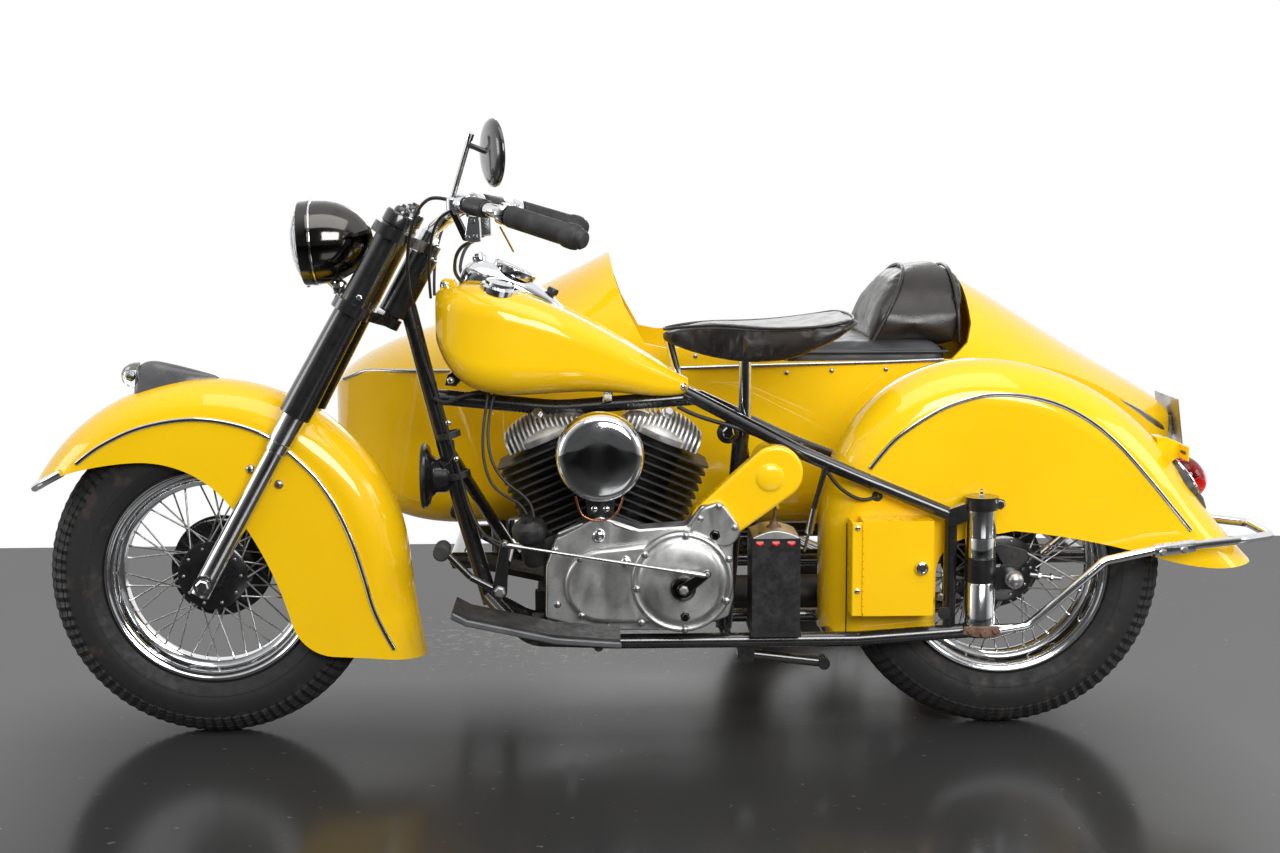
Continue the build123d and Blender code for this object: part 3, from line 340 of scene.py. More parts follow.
def dull(name, colour, worn_colour, low, high, scale, grain, grain_depth=0.0006, **sockets):
    """A dull finish: its colour drifts towards worn_colour in patches, over a fine grain."""
    material, shader = new_finish(name, colour, **sockets)
    patches = remap(material, noise(material, scale, 5), 0.42, 0.75, 0.0, 1.0)
    wire(material, mixed(material, patches, colour, worn_colour), shader, "Base Color")
    wire(material, remap(material, noise(material, scale * 3, 4), 0.3, 0.7, low, high), shader, "Roughness")
    bumped(material, shader, noise(material, grain, 3), 0.25, grain_depth)
    return material


black_iron = dull("black_iron", (0.010, 0.010, 0.011), (0.035, 0.033, 0.030), 0.38, 0.6, 18, 500)
head_alloy = dull("head_alloy", (0.62, 0.62, 0.61), (0.40, 0.39, 0.37), 0.34, 0.55, 24, 420, metallic=0.9)
dark_case = dull("dark_case", (0.045, 0.045, 0.046), (0.10, 0.097, 0.09), 0.4, 0.65, 14, 380, metallic=0.5)
rubber = dull("rubber", (0.014, 0.014, 0.015), (0.045, 0.044, 0.042), 0.5, 0.75, 30, 900)
ebonite = dull("ebonite", (0.010, 0.010, 0.011), (0.03, 0.03, 0.032), 0.3, 0.5, 40, 600)
smoked = dull("smoked_housing", (0.085, 0.087, 0.092), (0.14, 0.142, 0.145), 0.14, 0.3, 20, 400, 0.0002)
dress(black_iron, "cylinder_barrels", "exhaust")
dress(head_alloy, "cylinder_heads")
dress(dark_case, "crankcase")
dress(rubber, "grips", "footboards")
dress(ebonite, "battery", "mirror")
dress(smoked, "fender_lamp")
leather = dull("black_leather", (0.012, 0.010, 0.009), (0.030, 0.022, 0.018), 0.24, 0.42, 9, 260, 0.0012)
vinyl = dull("grey_vinyl", (0.020, 0.021, 0.024), (0.034, 0.035, 0.038), 0.34, 0.5, 12, 420, 0.0008)
dress(leather, "saddle", "sidecar_backrest")
dress(vinyl, "sidecar_cushion")
red_glass = new_finish("red_glass", (0.50, 0.008, 0.010), roughness=0.12, Coat_Weight=0.8)[0]
dress(red_glass, "tail_lamp")

# Tyres. Each is a 5.00-16 motorcycle tyre, moulded black rubber gone grey on the walls. Its tread is ribs
# parted by zigzag grooves that run over the shoulder, and a fine ring marks the wall above the rim.


def piece(name, mesh, material, body="chassis", sharp=38):
    """A finished mesh as an object, smooth but for its edges sharper than sharp degrees.
    It rides on a body, or on none."""
    mesh.name = name
    mesh.materials.clear()
    mesh.materials.append(material)
    mesh.shade_smooth()
    mesh.set_sharp_from_angle(angle=radians(sharp))
    made = shown(bpy.data.objects.new(name, mesh))
    if body:
        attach(made, body)
    return made


def cleaned(mesh, outward=True):
    """Merges doubles, drops faces of no area and turns every face outward."""
    work = bmesh.new()
    work.from_mesh(mesh)
    bmesh.ops.remove_doubles(work, verts=work.verts, dist=1e-6)
    bmesh.ops.dissolve_degenerate(work, edges=work.edges, dist=1e-6)
    if outward:
        bmesh.ops.recalc_face_normals(work, faces=work.faces)
    work.to_mesh(mesh)
    work.free()
    return mesh


def new_mesh(name, corners, faces, outward=True):
    mesh = bpy.data.meshes.new(name)
    mesh.from_pydata(corners, [], faces)
    return cleaned(mesh, outward)


def turned(name, profile, centre, axis=(0, 1, 0), steps=96, ring=False, sway=None):
    """A shape turned round an axis from (radius, distance along it) in millimetres.
    ring closes the profile on itself; sway moves each point along the axis by its share at each step."""
    along = Vector(axis).normalized()
    first = along.orthogonal().normalized()
    second = along.cross(first)
    rows = []
    for step in range(steps):
        out = first * cos(tau * step / steps) + second * sin(tau * step / steps)
        for index, (radius, distance) in enumerate(profile):
            moved = distance + (sway(step, index) if sway else 0)
            rows.append(centre + (along * moved + out * radius) / 1000)
    count = len(profile)
    faces = []
    for step in range(steps):
        ahead = (step + 1) % steps
        for index in range(count if ring else count - 1):
            beside = (index + 1) % count
            faces.append(
                (step * count + index, step * count + beside, ahead * count + beside, ahead * count + index)
            )
    return new_mesh(name, rows, faces)


def lathe(name, profile, centre, way, steps, material, body="chassis", sharp=38, ring=False):
    return piece(name, turned(name, profile, centre, way, steps, ring), material, body, sharp)


tyre_radius = 332
tyre_half_width = 63.5
tyre_middle = 263
bead_half = 40
bead_radius = 204.3
tread_teeth = 96
groove_depth = 5.5
groove_half = 1.7
tooth_sway = 3.4


def tyre_point(turn, sunk=0.0):
    """(radius, out) on the round of the tyre, turn degrees from the crown, sunk below the surface."""
    tall = tyre_radius - tyre_middle if turn < 90 else 56
    squash = 1.0 if turn < 90 else 0.86
    out = tyre_half_width * sin(radians(turn)) ** squash
    rise = tall * cos(radians(turn))
    reach = hypot(out, rise)
    return tyre_middle + rise * (1 - sunk / reach), out * (1 - sunk / reach)


stations = []
tread_round = 66
half_turn = groove_half * 57.3 / tread_round
for groove_turn in (8, 25, 42, 57):
    stations += [
        (*tyre_point(groove_turn - half_turn), tooth_sway),
        (*tyre_point(groove_turn - half_turn + 0.6, groove_depth), tooth_sway),
        (*tyre_point(groove_turn + half_turn - 0.6, groove_depth), tooth_sway),
        (*tyre_point(groove_turn + half_turn), tooth_sway),
    ]
stations += [(*tyre_point(63), tooth_sway), (*tyre_point(64, 2.2), tooth_sway)]
stations += [(*tyre_point(turn, 2.2 if turn < 84 else 0), 0) for turn in (70, 78, 90, 100)]
stations += [
    (*tyre_point(106), 0), (*tyre_point(107, -0.9), 0), (*tyre_point(109, -0.9), 0), (*tyre_point(110), 0),
]
stations += [(*tyre_point(turn), 0) for turn in (118, 126, 134)]
stations += [(tyre_middle - 41, bead_half + 6, 0), (220, bead_half, 0), (bead_radius, bead_half, 0)]
tyre_profile = [(radius, -out, -shift) for radius, out, shift in reversed(stations)] + stations


def tooth(step, index):
    """The tread's zigzag: each groove swings to one side and back at every tooth."""
    return tyre_profile[index][2] * (1 if step % 2 else -1) * (1 if tyre_profile[index][1] > 0 else -1)


def tyre_rubber(name, hub):
    """Black rubber, dusty grey on the walls, with brown dust caught in the teeth."""
    material, shader = new_finish(name, (0.020, 0.020, 0.020), roughness=0.75)
    where = shader_node(material, "TexCoord")
    from_hub = shader_node(
        material, "Mapping", {"Vector": where.outputs["Object"], "Location": -hub, "Scale": (1, 0.001, 1)},
    )
    reach = shader_node(
        material, "VectorMath", {0: from_hub.outputs[0]}, operation="LENGTH",
    ).outputs["Value"]
    wall = product(
        material, remap(material, reach, 0.215, 0.24, 0.4, 1.0),
        remap(material, reach, 0.296, 0.312, 1.0, 0.0),
    )
    dusty = product(material, wall, remap(material, noise(material, 16, 6), 0.3, 0.72, 0.25, 1.0))
    grey = mixed(material, dusty, (0.013, 0.013, 0.013), (0.062, 0.060, 0.058))
    caught = product(
        material, remap(material, reach, 0.312, 0.328, 0.0, 1.0),
        remap(material, noise(material, 26, 6), 0.58, 0.74, 0, 0.5),
    )
    wire(material, mixed(material, caught, grey, (0.10, 0.065, 0.045)), shader, "Base Color")
    wire(material, remap(material, noise(material, 50, 5), 0.3, 0.7, 0.55, 0.85), shader, "Roughness")
    bumped(material, shader, noise(material, 420, 4), 0.18, 0.0006)
    return material


hubs = {
    "front": (front_axle, "front_wheel"), "rear": (rear_axle, "rear_wheel"),
    "sidecar": (sidecar_axle, "sidecar_wheel"),
}
for side, (hub, body) in hubs.items():
    mesh = turned(
        f"{side}_tread", [(radius, out) for radius, out, shift in tyre_profile], hub, steps=2 * tread_teeth,
        ring=True, sway=tooth,
    )
    tyre = piece(f"{side}_treaded_tyre", mesh, tyre_rubber(f"{side}_tyre_rubber", hub), body, 30)
    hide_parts(f"{side}_tyre")

# Wheels. A chromed steel rim, rolled with two beads and a drop centre, laced to a black hub by forty steel
# spokes. Every spoke hooks into a hub flange and is pulled up by a nipple in the rim's well.
rim_profile = [
    (217, -46), (217, -42), (204, -42), (204, -21), (186, -14), (186, 14), (204, 21), (204, 42), (217, 42),
    (217, 46), (215.6, 47.4), (213, 48), (210.6, 47), (209.4, 45), (207, 44), (205, 44.6), (203.8, 46),
    (201.6, 46.4), (199.6, 45.2), (198.6, 42), (198.4, 34), (197, 26), (191, 19), (183.4, 15.4), (182, 10),
    (181.6, 0),
]
rim_profile += [(radius, -out) for radius, out in rim_profile[-2:9:-1]]
hub_profile = [
    (9.3, -52), (20, -52), (22, -50), (28, -50), (28, -40), (45, -40), (46, -39), (46, -36), (45, -35),
    (29, -35), (26, -26), (25, 0), (26, 26), (29, 35), (45, 35), (46, 36), (46, 39), (45, 40), (28, 40),
    (28, 50), (22, 50), (20, 52), (9.3, 52),
]
spoke_count = 40
spoke_crossing = 62
hook_radius, hook_out = 41, 38
seat_radius, seat_out = 183, 6
rivet_count, rivet_radius = 10, 58


def new_tree(name, sockets):
    """A Geometry Nodes tree with a mesh in and out, and its sizes as named inputs."""
    tree = bpy.data.node_groups.new(name, "GeometryNodeTree")
    tree.interface.new_socket("Geometry", in_out="INPUT", socket_type="NodeSocketGeometry")
    tree.interface.new_socket("Geometry", in_out="OUTPUT", socket_type="NodeSocketGeometry")
    for label, kind in sockets.items():
        tree.interface.new_socket(label, in_out="INPUT", socket_type="NodeSocket" + kind)
    tree.nodes.new("NodeGroupInput")
    tree.nodes.new("NodeGroupOutput")
    return tree


def baked(made):
    """The thing's mesh with all its modifiers applied."""
    return bpy.data.meshes.new_from_object(made.evaluated_get(bpy.context.evaluated_depsgraph_get()))


def grown(name, vertices, edges, tree, inputs, attributes=None):
    """The mesh that the tree makes from those points and edges."""
    seed = bpy.data.meshes.new(name + "_seed")
    seed.from_pydata(vertices, edges, [])
    for label, (kind, values) in (attributes or {}).items():
        attribute = seed.attributes.new(label, kind, "POINT")
        if kind == "FLOAT_VECTOR":
            attribute.data.foreach_set("vector", [part for value in values for part in value])
        else:
            attribute.data.foreach_set("value", values)
    holder = shown(bpy.data.objects.new(name + "_seed", seed))
    modifier = holder.modifiers.new("grow", "NODES")
    modifier.node_group = tree
    for item in tree.interface.items_tree:
        if item.item_type == "SOCKET" and item.in_out == "INPUT" and item.name in inputs:
            modifier[item.identifier] = inputs[item.name]
    made = baked(holder)
    bpy.data.objects.remove(holder)
    return made


def finish_tree(tree, last):
    """Makes the last node's instances real, gives them the tree's material and sends them out."""
    real = tree_node(tree, "GeometryNodeRealizeInstances", {0: last.outputs[0]})
    finish = tree.nodes["Group Input"].outputs["Finish"]
    painted = tree_node(tree, "GeometryNodeSetMaterial", {"Geometry": real.outputs[0], "Material": finish})
    tree.links.new(painted.outputs[0], tree.nodes["Group Output"].inputs[0])


wires_tree = new_tree("round_wires", {"Radius": "Float", "Sides": "Int", "Finish": "Material"})
entry = wires_tree.nodes["Group Input"].outputs
lines = tree_node(wires_tree, "GeometryNodeMeshToCurve", {0: entry["Geometry"]})
circle = tree_node(
    wires_tree, "GeometryNodeCurvePrimitiveCircle", {"Radius": entry["Radius"], "Resolution": entry["Sides"]},
)
tubes = tree_node(
    wires_tree, "GeometryNodeCurveToMesh",
    {"Curve": lines.outputs[0], "Profile Curve": circle.outputs[0], "Fill Caps": True},
)
finish_tree(wires_tree, tubes)

copies_tree = new_tree("copies_on_points", {"Copy": "Object", "Finish": "Material"})
entry = copies_tree.nodes["Group Input"].outputs
copied = tree_node(copies_tree, "GeometryNodeObjectInfo", {"Object": entry["Copy"]})
facing = tree_node(
    copies_tree, "GeometryNodeInputNamedAttribute", {"Name": "facing"}, data_type="FLOAT_VECTOR",
)
sizing = tree_node(copies_tree, "GeometryNodeInputNamedAttribute", {"Name": "sizing"}, data_type="FLOAT")
turning = tree_node(
    copies_tree, "FunctionNodeAlignRotationToVector", {"Vector": facing.outputs[0]}, axis="Z",
)
placed = tree_node(
    copies_tree, "GeometryNodeInstanceOnPoints",
    {
        "Points": entry["Geometry"], "Instance": copied.outputs["Geometry"], "Rotation": turning.outputs[0],
        "Scale": sizing.outputs[0],
    },
)
finish_tree(copies_tree, placed)


def rods(name, pairs, radius, material, body="chassis", sides=10):
    """Straight round wires or rods between pairs of points, radius in millimetres."""
    ends = [end for pair in pairs for end in pair]
    edges = [(2 * number, 2 * number + 1) for number in range(len(pairs))]
    mesh = grown(
        name, ends, edges, wires_tree, {"Radius": radius / 1000, "Sides": sides, "Finish": material},
    )
    return piece(name, mesh, material, body, 50)


def pattern(name, profile, sides):
    """A small turned shape, standing up from the origin, that a tree copies onto points."""
    return bpy.data.objects.new(name, turned(name, profile, Vector((0, 0, 0)), (0, 0, 1), sides))


hex_head = pattern(
    "hex_head", [(0, 0), (1.25, 0), (1.25, 0.14), (1.0, 0.16), (1.0, 0.72), (0.8, 0.9), (0, 0.9)], 6,
)
round_head = pattern("round_head", [(0, 0), (1.0, 0), (1.0, 0.25), (0.86, 0.5), (0.5, 0.7), (0, 0.76)], 12)
nipple = pattern("nipple", [(0, -1), (1.9, -1), (1.9, 2), (1.5, 2.4), (1.3, 9), (1.05, 11), (0, 11)], 8)


def copies(name, shape, places, material, body="chassis"):
    """Copies of a small shape: places are (point, facing, size in millimetres for a shape drawn 1 across)."""
    mesh = grown(
        name, [point for point, way, size in places], [], copies_tree, {"Copy": shape, "Finish": material},
        {
            "facing": ("FLOAT_VECTOR", [Vector(way).normalized() for point, way, size in places]),
            "sizing": ("FLOAT", [size for point, way, size in places]),
        },
    )
    return piece(name, mesh, material, body, 35)


def round_hub(hub, radius, turn, out):
    """A point in metres, from millimetres and a turn round the wheel's axle."""
    return hub + Vector((radius * cos(turn), out, radius * sin(turn))) / 1000


for side, (hub, body) in hubs.items():
    rim = lathe(f"{side}_rim", rim_profile, hub, (0, 1, 0), 160, chrome, body, ring=True)
    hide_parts(f"{side}_wire_wheel")
    lathe(f"{side}_hub", hub_profile, hub, (0, 1, 0), 48, black_enamel, body, ring=True)
    laced = []
    pulled = []
    for number in range(spoke_count):
        out = 1 if number % 2 else -1
        rim_turn = tau * number / spoke_count
        hub_turn = rim_turn + radians(spoke_crossing if number % 4 < 2 else -spoke_crossing)
        hooked = round_hub(hub, hook_radius, hub_turn, out * hook_out)
        seated = round_hub(hub, seat_radius, rim_turn, out * seat_out)
        laced.append((hooked, seated))
        pulled.append((seated, hooked - seated, 1.35))
    rods(f"{side}_spokes", laced, 1.9, turned_steel, body, 8)
    copies(f"{side}_nipples", nipple, pulled, chrome, body)
    rivets = [
        (round_hub(hub, rivet_radius, tau * turn / rivet_count, out * 42.8), (0, out, 0), 3.4)
        for turn in range(rivet_count)
        for out in (-1, 1)
    ]
    dust_shield = [(28, -44), (66, -42), (70, -40), (70, -36), (64, -33), (28, -33)]
    for out in (-1, 1):
        shield = [(radius, out * distance) for radius, distance in dust_shield]
        where = "left" if out > 0 else "right"
        lathe(f"{side}_flange_plate_{where}", shield, hub, (0, 1, 0), 64, black_enamel, body, ring=True)
    copies(f"{side}_flange_rivets", round_head, rivets, turned_steel, body)

# Fork. Two telescopic legs: chromed sliders that end in cast lugs on the axle, black enamelled shrouds
# above them with a polished collar between, and forged clamps above and below the steering head, held by
# plated bolts.
steering = next(joint for joint in frame["joints"] if joint["name"] == "steering")
steer_up = Vector(steering["axis"]).normalized()
steer_back = Vector((steer_up.z, 0, -steer_up.x))
steer_foot = Vector(steering["pos_m"]) - 0.7 * steer_up


def steer_at(back, right, along):
    """A point in metres, from millimetres behind, right of and up along the steering axis."""
    return steer_foot + (steer_back * back + steer_up * along + Vector((0, right, 0))) / 1000


def packed_mesh(node):
    """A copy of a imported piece's mesh, its doubled corners merged."""
    source = frame["nodes"][node].data
    corners = [corner.co for corner in source.vertices]
    return new_mesh(node, corners, [face.vertices for face in source.polygons], outward=False)


def parted(node, finishes, pick, body):
    """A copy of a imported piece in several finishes, each face's picked by its centre."""
    mesh = packed_mesh(node)
    made = piece(node + "_dressed", mesh, finishes[0], body, 32)
    for finish in finishes[1:]:
        mesh.materials.append(finish)
    for face in mesh.polygons:
        face.material_index = pick(face.center)
    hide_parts(node)
    return made


slider_end = 380
legs = (-110, 110)


def fork_finish(centre):
    along = (centre - steer_foot).dot(steer_up) * 1000
    ahead = (centre - steer_foot).dot(steer_back) * 1000
    return 1 if along < slider_end and ahead < -30 else 0


polished_slider = bright("polished_slider", (0.62, 0.62, 0.63), 0.10, 0.26, 18)
parted("fork", (black_enamel, polished_slider), fork_finish, "steering")
for number, leg in enumerate(legs):
    side = ("left", "right")[number]
    collar = [
        (20.2, 300), (22.6, 302), (23.4, 318), (23.4, 322), (25.4, 324), (26, 330), (26, 384), (22, 388),
    ]
    lathe(f"fork_collar_{side}", collar, steer_at(-70, leg, 0), steer_up, 40, polished_slider, "steering")
    cap = [(27.5, 806), (29.5, 808), (29.5, 830), (27, 834), (17, 835), (16, 841), (12, 846), (0, 847)]
    lathe(f"fork_cap_{side}", cap, steer_at(-70, leg, 0), steer_up, 32, black_enamel, "steering")
clamp_bolts = [
    (steer_at(-70 + back, leg + out, along), (0, out, 0), 6.0)
    for leg, out in ((-110, -27.5), (110, 27.5))
    for back, along in ((6, 652), (6, 790))
]
top_bolts = [(steer_at(-70, leg, 846), steer_up, 8) for leg in legs]
copies(
    "fork_bolts", hex_head, clamp_bolts + [(steer_at(0, 0, 806), steer_up, 13.0)] + top_bolts, chrome,
    "steering",
)
copies(
    "front_axle_nuts", hex_head,
    [(front_axle + Vector((0, out * 0.137, 0)), (0, out, 0), 13.5) for out in (-1, 1)], chrome, "steering",
)
lathe(
    "front_axle_washer", [(9, -137), (20, -137), (20, -133), (9, -133)], front_axle, (0, 1, 0), 32, chrome,
    "steering", ring=True,
)

# Fender beads and fittings. A half-round chromed bead with a black inlay is pinned along the skirt of each
# fender, a chromed bumper caps the nose, and plated bolts hold the skirt to the fork's lugs and the frame.


def skin_of(node):
    shape = frame["nodes"][node].data
    return BVHTree.FromPolygons(
        [corner.co for corner in shape.vertices], [face.vertices for face in shape.polygons],
    )


def on_skin(skin, start, way, lift=0.0):
    """Where a line from start along way meets the skin, lifted off it in mm, and the way it faces."""
    place, facing, face, distance = skin.ray_cast(start, Vector(way).normalized())
    if place is None:
        raise ValueError(f"nothing is met from {start}")
    if facing.dot(Vector(way)) > 0:
        facing = -facing
    return place + facing * lift / 1000, facing


def tube(name, points, radius, material, body="chassis", sides=10, ring=False):
    """A round tube or cable along one smooth spline, radius in millimetres."""
    shape = bpy.data.curves.new(name, "CURVE")
    shape.dimensions = "3D"
    spline = shape.splines.new("NURBS")
    spline.points.add(len(points) - 1)
    for point, place in zip(spline.points, points):
        point.co = (*place, 1)
    spline.order_u = 3
    spline.use_endpoint_u = not ring
    spline.use_cyclic_u = ring
    spline.resolution_u = 6
    shape.bevel_depth = radius / 1000
    shape.bevel_resolution = max(1, sides // 4)
    shape.use_fill_caps = True
    holder = shown(bpy.data.objects.new(name, shape))
    mesh = baked(holder)
    bpy.data.objects.remove(holder)
    return piece(name, mesh, material, body, 50)


fender_beads = {
    "front": (
        "front_fender", "steering",
        [
            (-252, 570), (-228, 589), (-201, 607), (-141, 637), (-72, 654), (-3, 659), (75, 645), (134, 620),
            (176, 584), (230, 531), (277, 444), (309, 348), (332, 250), (368, 186),
        ],
    ),
    "rear": (
        "rear_fender", "chassis",
        [
            (1328, 548), (1352, 580), (1387, 617), (1467, 668), (1520, 686), (1567, 696), (1647, 691),
            (1728, 666), (1811, 611), (1894, 519), (1979, 415),
        ],
    ),
}
for side, (node, body, line) in fender_beads.items():
    skin = skin_of(node)
    for hand in (-1, 1):
        met = [on_skin(skin, at(back, hand * 300, up), (0, -hand, 0)) for back, up in line]
        where = ("left", "", "right")[hand + 1]
        tube(f"{side}_bead_{where}", [place + facing * 0.0006 for place, facing in met], 5.2, chrome, body)
        tube(
            f"{side}_bead_inlay_{where}", [place + facing * 0.0042 for place, facing in met], 2.0,
            black_enamel, body,
        )

nose = [(-283, -84, 552), (-310, -78, 538), (-336, -62, 524), (-352, -34, 514), (-358, 0, 511)]
nose += [(back, -right, up) for back, right, up in reversed(nose[:-1])]
tube("fender_nose_bar", [at(*point) for point in nose], 8.5, chrome, "steering", 16)
front_skin = skin_of("front_fender")
rear_skin = skin_of("rear_fender")
fender_bolts = [on_skin(front_skin, at(back, -300, up), (0, 1, 0)) for back, up in ((92, 557), (147, 526))]
copies(
    "front_fender_bolts", round_head, [(place, facing, 9.5) for place, facing in fender_bolts], turned_steel,
    "steering",
)

# Parking lamp. A die-cast teardrop on the front fender's crown, grey and ribbed along its back, with a
# clear fluted glass held in its open front.
lamp_stations = (
    (-150, 712, 16), (-146, 752, 24), (-132, 764, 27), (-112, 768, 27), (-90, 764, 26), (-50, 754, 22),
    (-15, 744, 14), (22, 734, 4),
)


def net(rows, count, closed=False):
    """The faces of a net of rows, each of count points, joined round if closed."""
    return [
        (
            row * count + step, row * count + (step + 1) % count, (row + 1) * count + (step + 1) % count,
            (row + 1) * count + step,
        )
        for row in range(rows - 1)
        for step in range(count if closed else count - 1)
    ]


def rounded(made, levels=2):
    softened = made.modifiers.new("softened", "SUBSURF")
    softened.levels = softened.render_levels = levels


around = 28
rows = []
for back, top, half in lamp_stations:
    foot = on_skin(front_skin, at(back, 0, 900), (0, 0, -1))[0].z * 1000 - 6
    for step in range(around):
        turn = tau * step / around
        rib = 1.0 + 0.035 * cos(6 * turn)
        rows.append(
            at(
                back, half * rib * cos(turn),
                max(foot, foot + (top - foot) * sin(turn) * (1 if sin(turn) > 0 else 0.1)),
            )
        )
faces = net(len(lamp_stations), around, closed=True)
faces += [tuple(range(around)), tuple(range((len(lamp_stations) - 1) * around, len(lamp_stations) * around))]
parking_lamp = piece("parking_lamp", new_mesh("parking_lamp", rows, faces), smoked, "steering", 60)
rounded(parking_lamp)
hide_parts("fender_lamp")


def clear_glass(name, colour=(1, 1, 1), ripple=0.0):
    """Pressed lens glass, fluted if ripple is given."""
    material, shader = new_finish(name, colour, roughness=0.04, Transmission_Weight=1.0, IOR=1.46)
    if ripple:
        bumped(material, shader, noise(material, ripple, 1, (0.02, 1, 0.08)), 0.5, 0.002)
    return material


lens_glass = clear_glass("lens_glass", (0.93, 0.95, 0.96), 160)
glass_profile = [(0, -26), (12, -24), (20, -17), (25, -6), (26, 6), (25, 12), (0, 12)]
lathe("parking_lens", glass_profile, at(-150, 0, 737), (1, 0, 0.12), 36, lens_glass, "steering")
lathe(
    "parking_bulb", [(0, -12), (6, -10), (8, -3), (5, 4), (0, 5)], at(-152, 0, 737), (1, 0, 0.12), 20,
    turned_steel, "steering",
)

# Headlamp. A deep chrome bowl and a plated rim clamped round its mouth, both darkened in colour as a painted
# reflection of dark surroundings, with a thin bright band behind, a bulged fluted glass over a silvered
# reflector, and a plated ball stud on a bracket from the lower clamp.
# Chrome painted dark. On the headlamp its dark colour is a painted reflection of dark surroundings; the
# levers, a drain screw and the clutch worm and crank use it too.
dark_chrome_and_painted_reflection = bright("dark_chrome_and_painted_reflection", (0.10, 0.095, 0.09), 0.06, 0.16, 10)
lamp_tilt = radians(4.4)
lamp_back = Vector((cos(lamp_tilt), 0, sin(lamp_tilt)))
lamp_centre = at(215.5, 0, 1001)
bowl = [(83, 1), (83.5, 14), (81.5, 34), (76, 55), (66, 76), (53, 94), (37, 109), (18, 118), (0, 120.5)]
bowl_piece = lathe("headlamp_bowl", bowl, lamp_centre, lamp_back, 72, dark_chrome_and_painted_reflection, "steering")
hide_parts("headlamp")
rim_ring = [
    (80, 4), (84.5, 3), (85.6, -1), (84.5, -5), (84.4, -18), (83, -22), (79, -23), (77, -20), (78, -6),
]
lathe("headlamp_rim", rim_ring, lamp_centre, lamp_back, 72, dark_chrome_and_painted_reflection, "steering", ring=True)
band = [(84, 1.5), (86.4, 2.4), (86.9, 4), (86.4, 5.6), (84, 6.4)]
lathe("headlamp_band", band, lamp_centre, lamp_back, 72, chrome, "steering", ring=True)
lens = [
    (78, -18), (70, -27), (56, -34), (38, -40), (19, -43), (0, -44), (0, -41), (18, -40), (37, -37),
    (55, -31), (69, -24), (77, -16),
]
lathe("headlamp_lens", lens, lamp_centre, lamp_back, 64, lens_glass, "steering", ring=True)
reflector = [(76, -14), (62, 8), (44, 30), (22, 46), (0, 52)]
lathe("headlamp_reflector", reflector, lamp_centre, lamp_back, 48, chrome, "steering")
rods(
    "headlamp_stud", [(at(246, 0, 930), at(276, 0, 902)), (at(276, 0, 902), steer_at(-94, 0, 624))], 11,
    chrome, "steering", 20,
)
lathe(
    "headlamp_ball", [(0, -17), (12, -12), (17, 0), (12, 12), (0, 17)], at(266, 0, 912), (0, 1, 0), 20,
    chrome, "steering",
)
copies(
    "headlamp_screw", round_head, [(lamp_centre + Vector((-0.012, 0, -0.086)), (0, 0, -1), 4)], chrome,
    "steering",
)

# Handlebar. Rubber grips with ribs and a ball end, a plated ring and a black switch sleeve inboard of each,
# plated perches with their short levers and clamp blocks, and a round mirror on a tall rod over the left
# perch.
bar_bend = {-1: at(592, -286, 1068), 1: at(592, 286, 1068)}
bar_end = {-1: at(757, -390, 1017), 1: at(757, 390, 1017)}
bar_inner = {-1: at(530, -200, 1080), 1: at(530, 200, 1080)}
grip_profile = [(13, 34), (19.6, 36), (20.8, 40)]
for rib in range(22):
    grip_profile += [(21, 44 + 5.2 * rib), (20.2, 46.6 + 5.2 * rib)]
grip_profile += [
    (21, 160), (22.4, 164), (23.6, 170), (23.8, 182), (22.6, 190), (19.4, 193), (18.6, 200), (14.5, 206),
    (0, 208.5),
]
hands = ((-1, "left"), (1, "right"))
for hand, where in hands:
    outward = (bar_end[hand] - bar_bend[hand]).normalized()
    inward = (bar_bend[hand] - bar_inner[hand]).normalized()
    grip = lathe(f"grip_{where}", grip_profile, bar_bend[hand], outward, 48, rubber, "steering")
    if hand < 0:
        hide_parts("grips")
    sleeve = [(13, 22), (17.5, 24), (18, 28), (18, 78), (16, 82), (13, 83)]
    lathe(f"switch_sleeve_{where}", sleeve, bar_inner[hand], inward, 32, ebonite, "steering")
    ring = [(13, 14), (20, 16), (20.5, 20), (20.5, 28), (19, 31), (13, 32)]
    lathe(f"grip_ring_{where}", ring, bar_bend[hand], outward, 40, chrome, "steering")
    clamp = [(12.8, -14), (17, -13), (18, -10), (18, 10), (17, 13), (12.8, 14)]
    lathe(f"perch_clamp_{where}", clamp, bar_inner[hand], inward, 32, chrome, "steering")


def plate(name, outline, left, right, material, body="chassis", bevel=0.0, segments=3):
    """A plate with an outline of (x, z) corners between two y, in millimetres, its edges rounded by bevel."""
    count = len(outline)
    corners = [at(back, y, up) for y in sorted((left, right)) for back, up in outline]
    faces = [tuple(range(count)), tuple(range(count, 2 * count))]
    faces += [(step, (step + 1) % count, count + (step + 1) % count, count + step) for step in range(count)]
    made = piece(name, new_mesh(name, corners, faces), material, body, 40)
    if bevel:
        rounding = made.modifiers.new("rounding", "BEVEL")
        rounding.width = bevel / 1000
        rounding.segments = segments
        rounding.limit_method = "ANGLE"
        rounding.angle_limit = radians(30)
        rounding.harden_normals = True
    return made


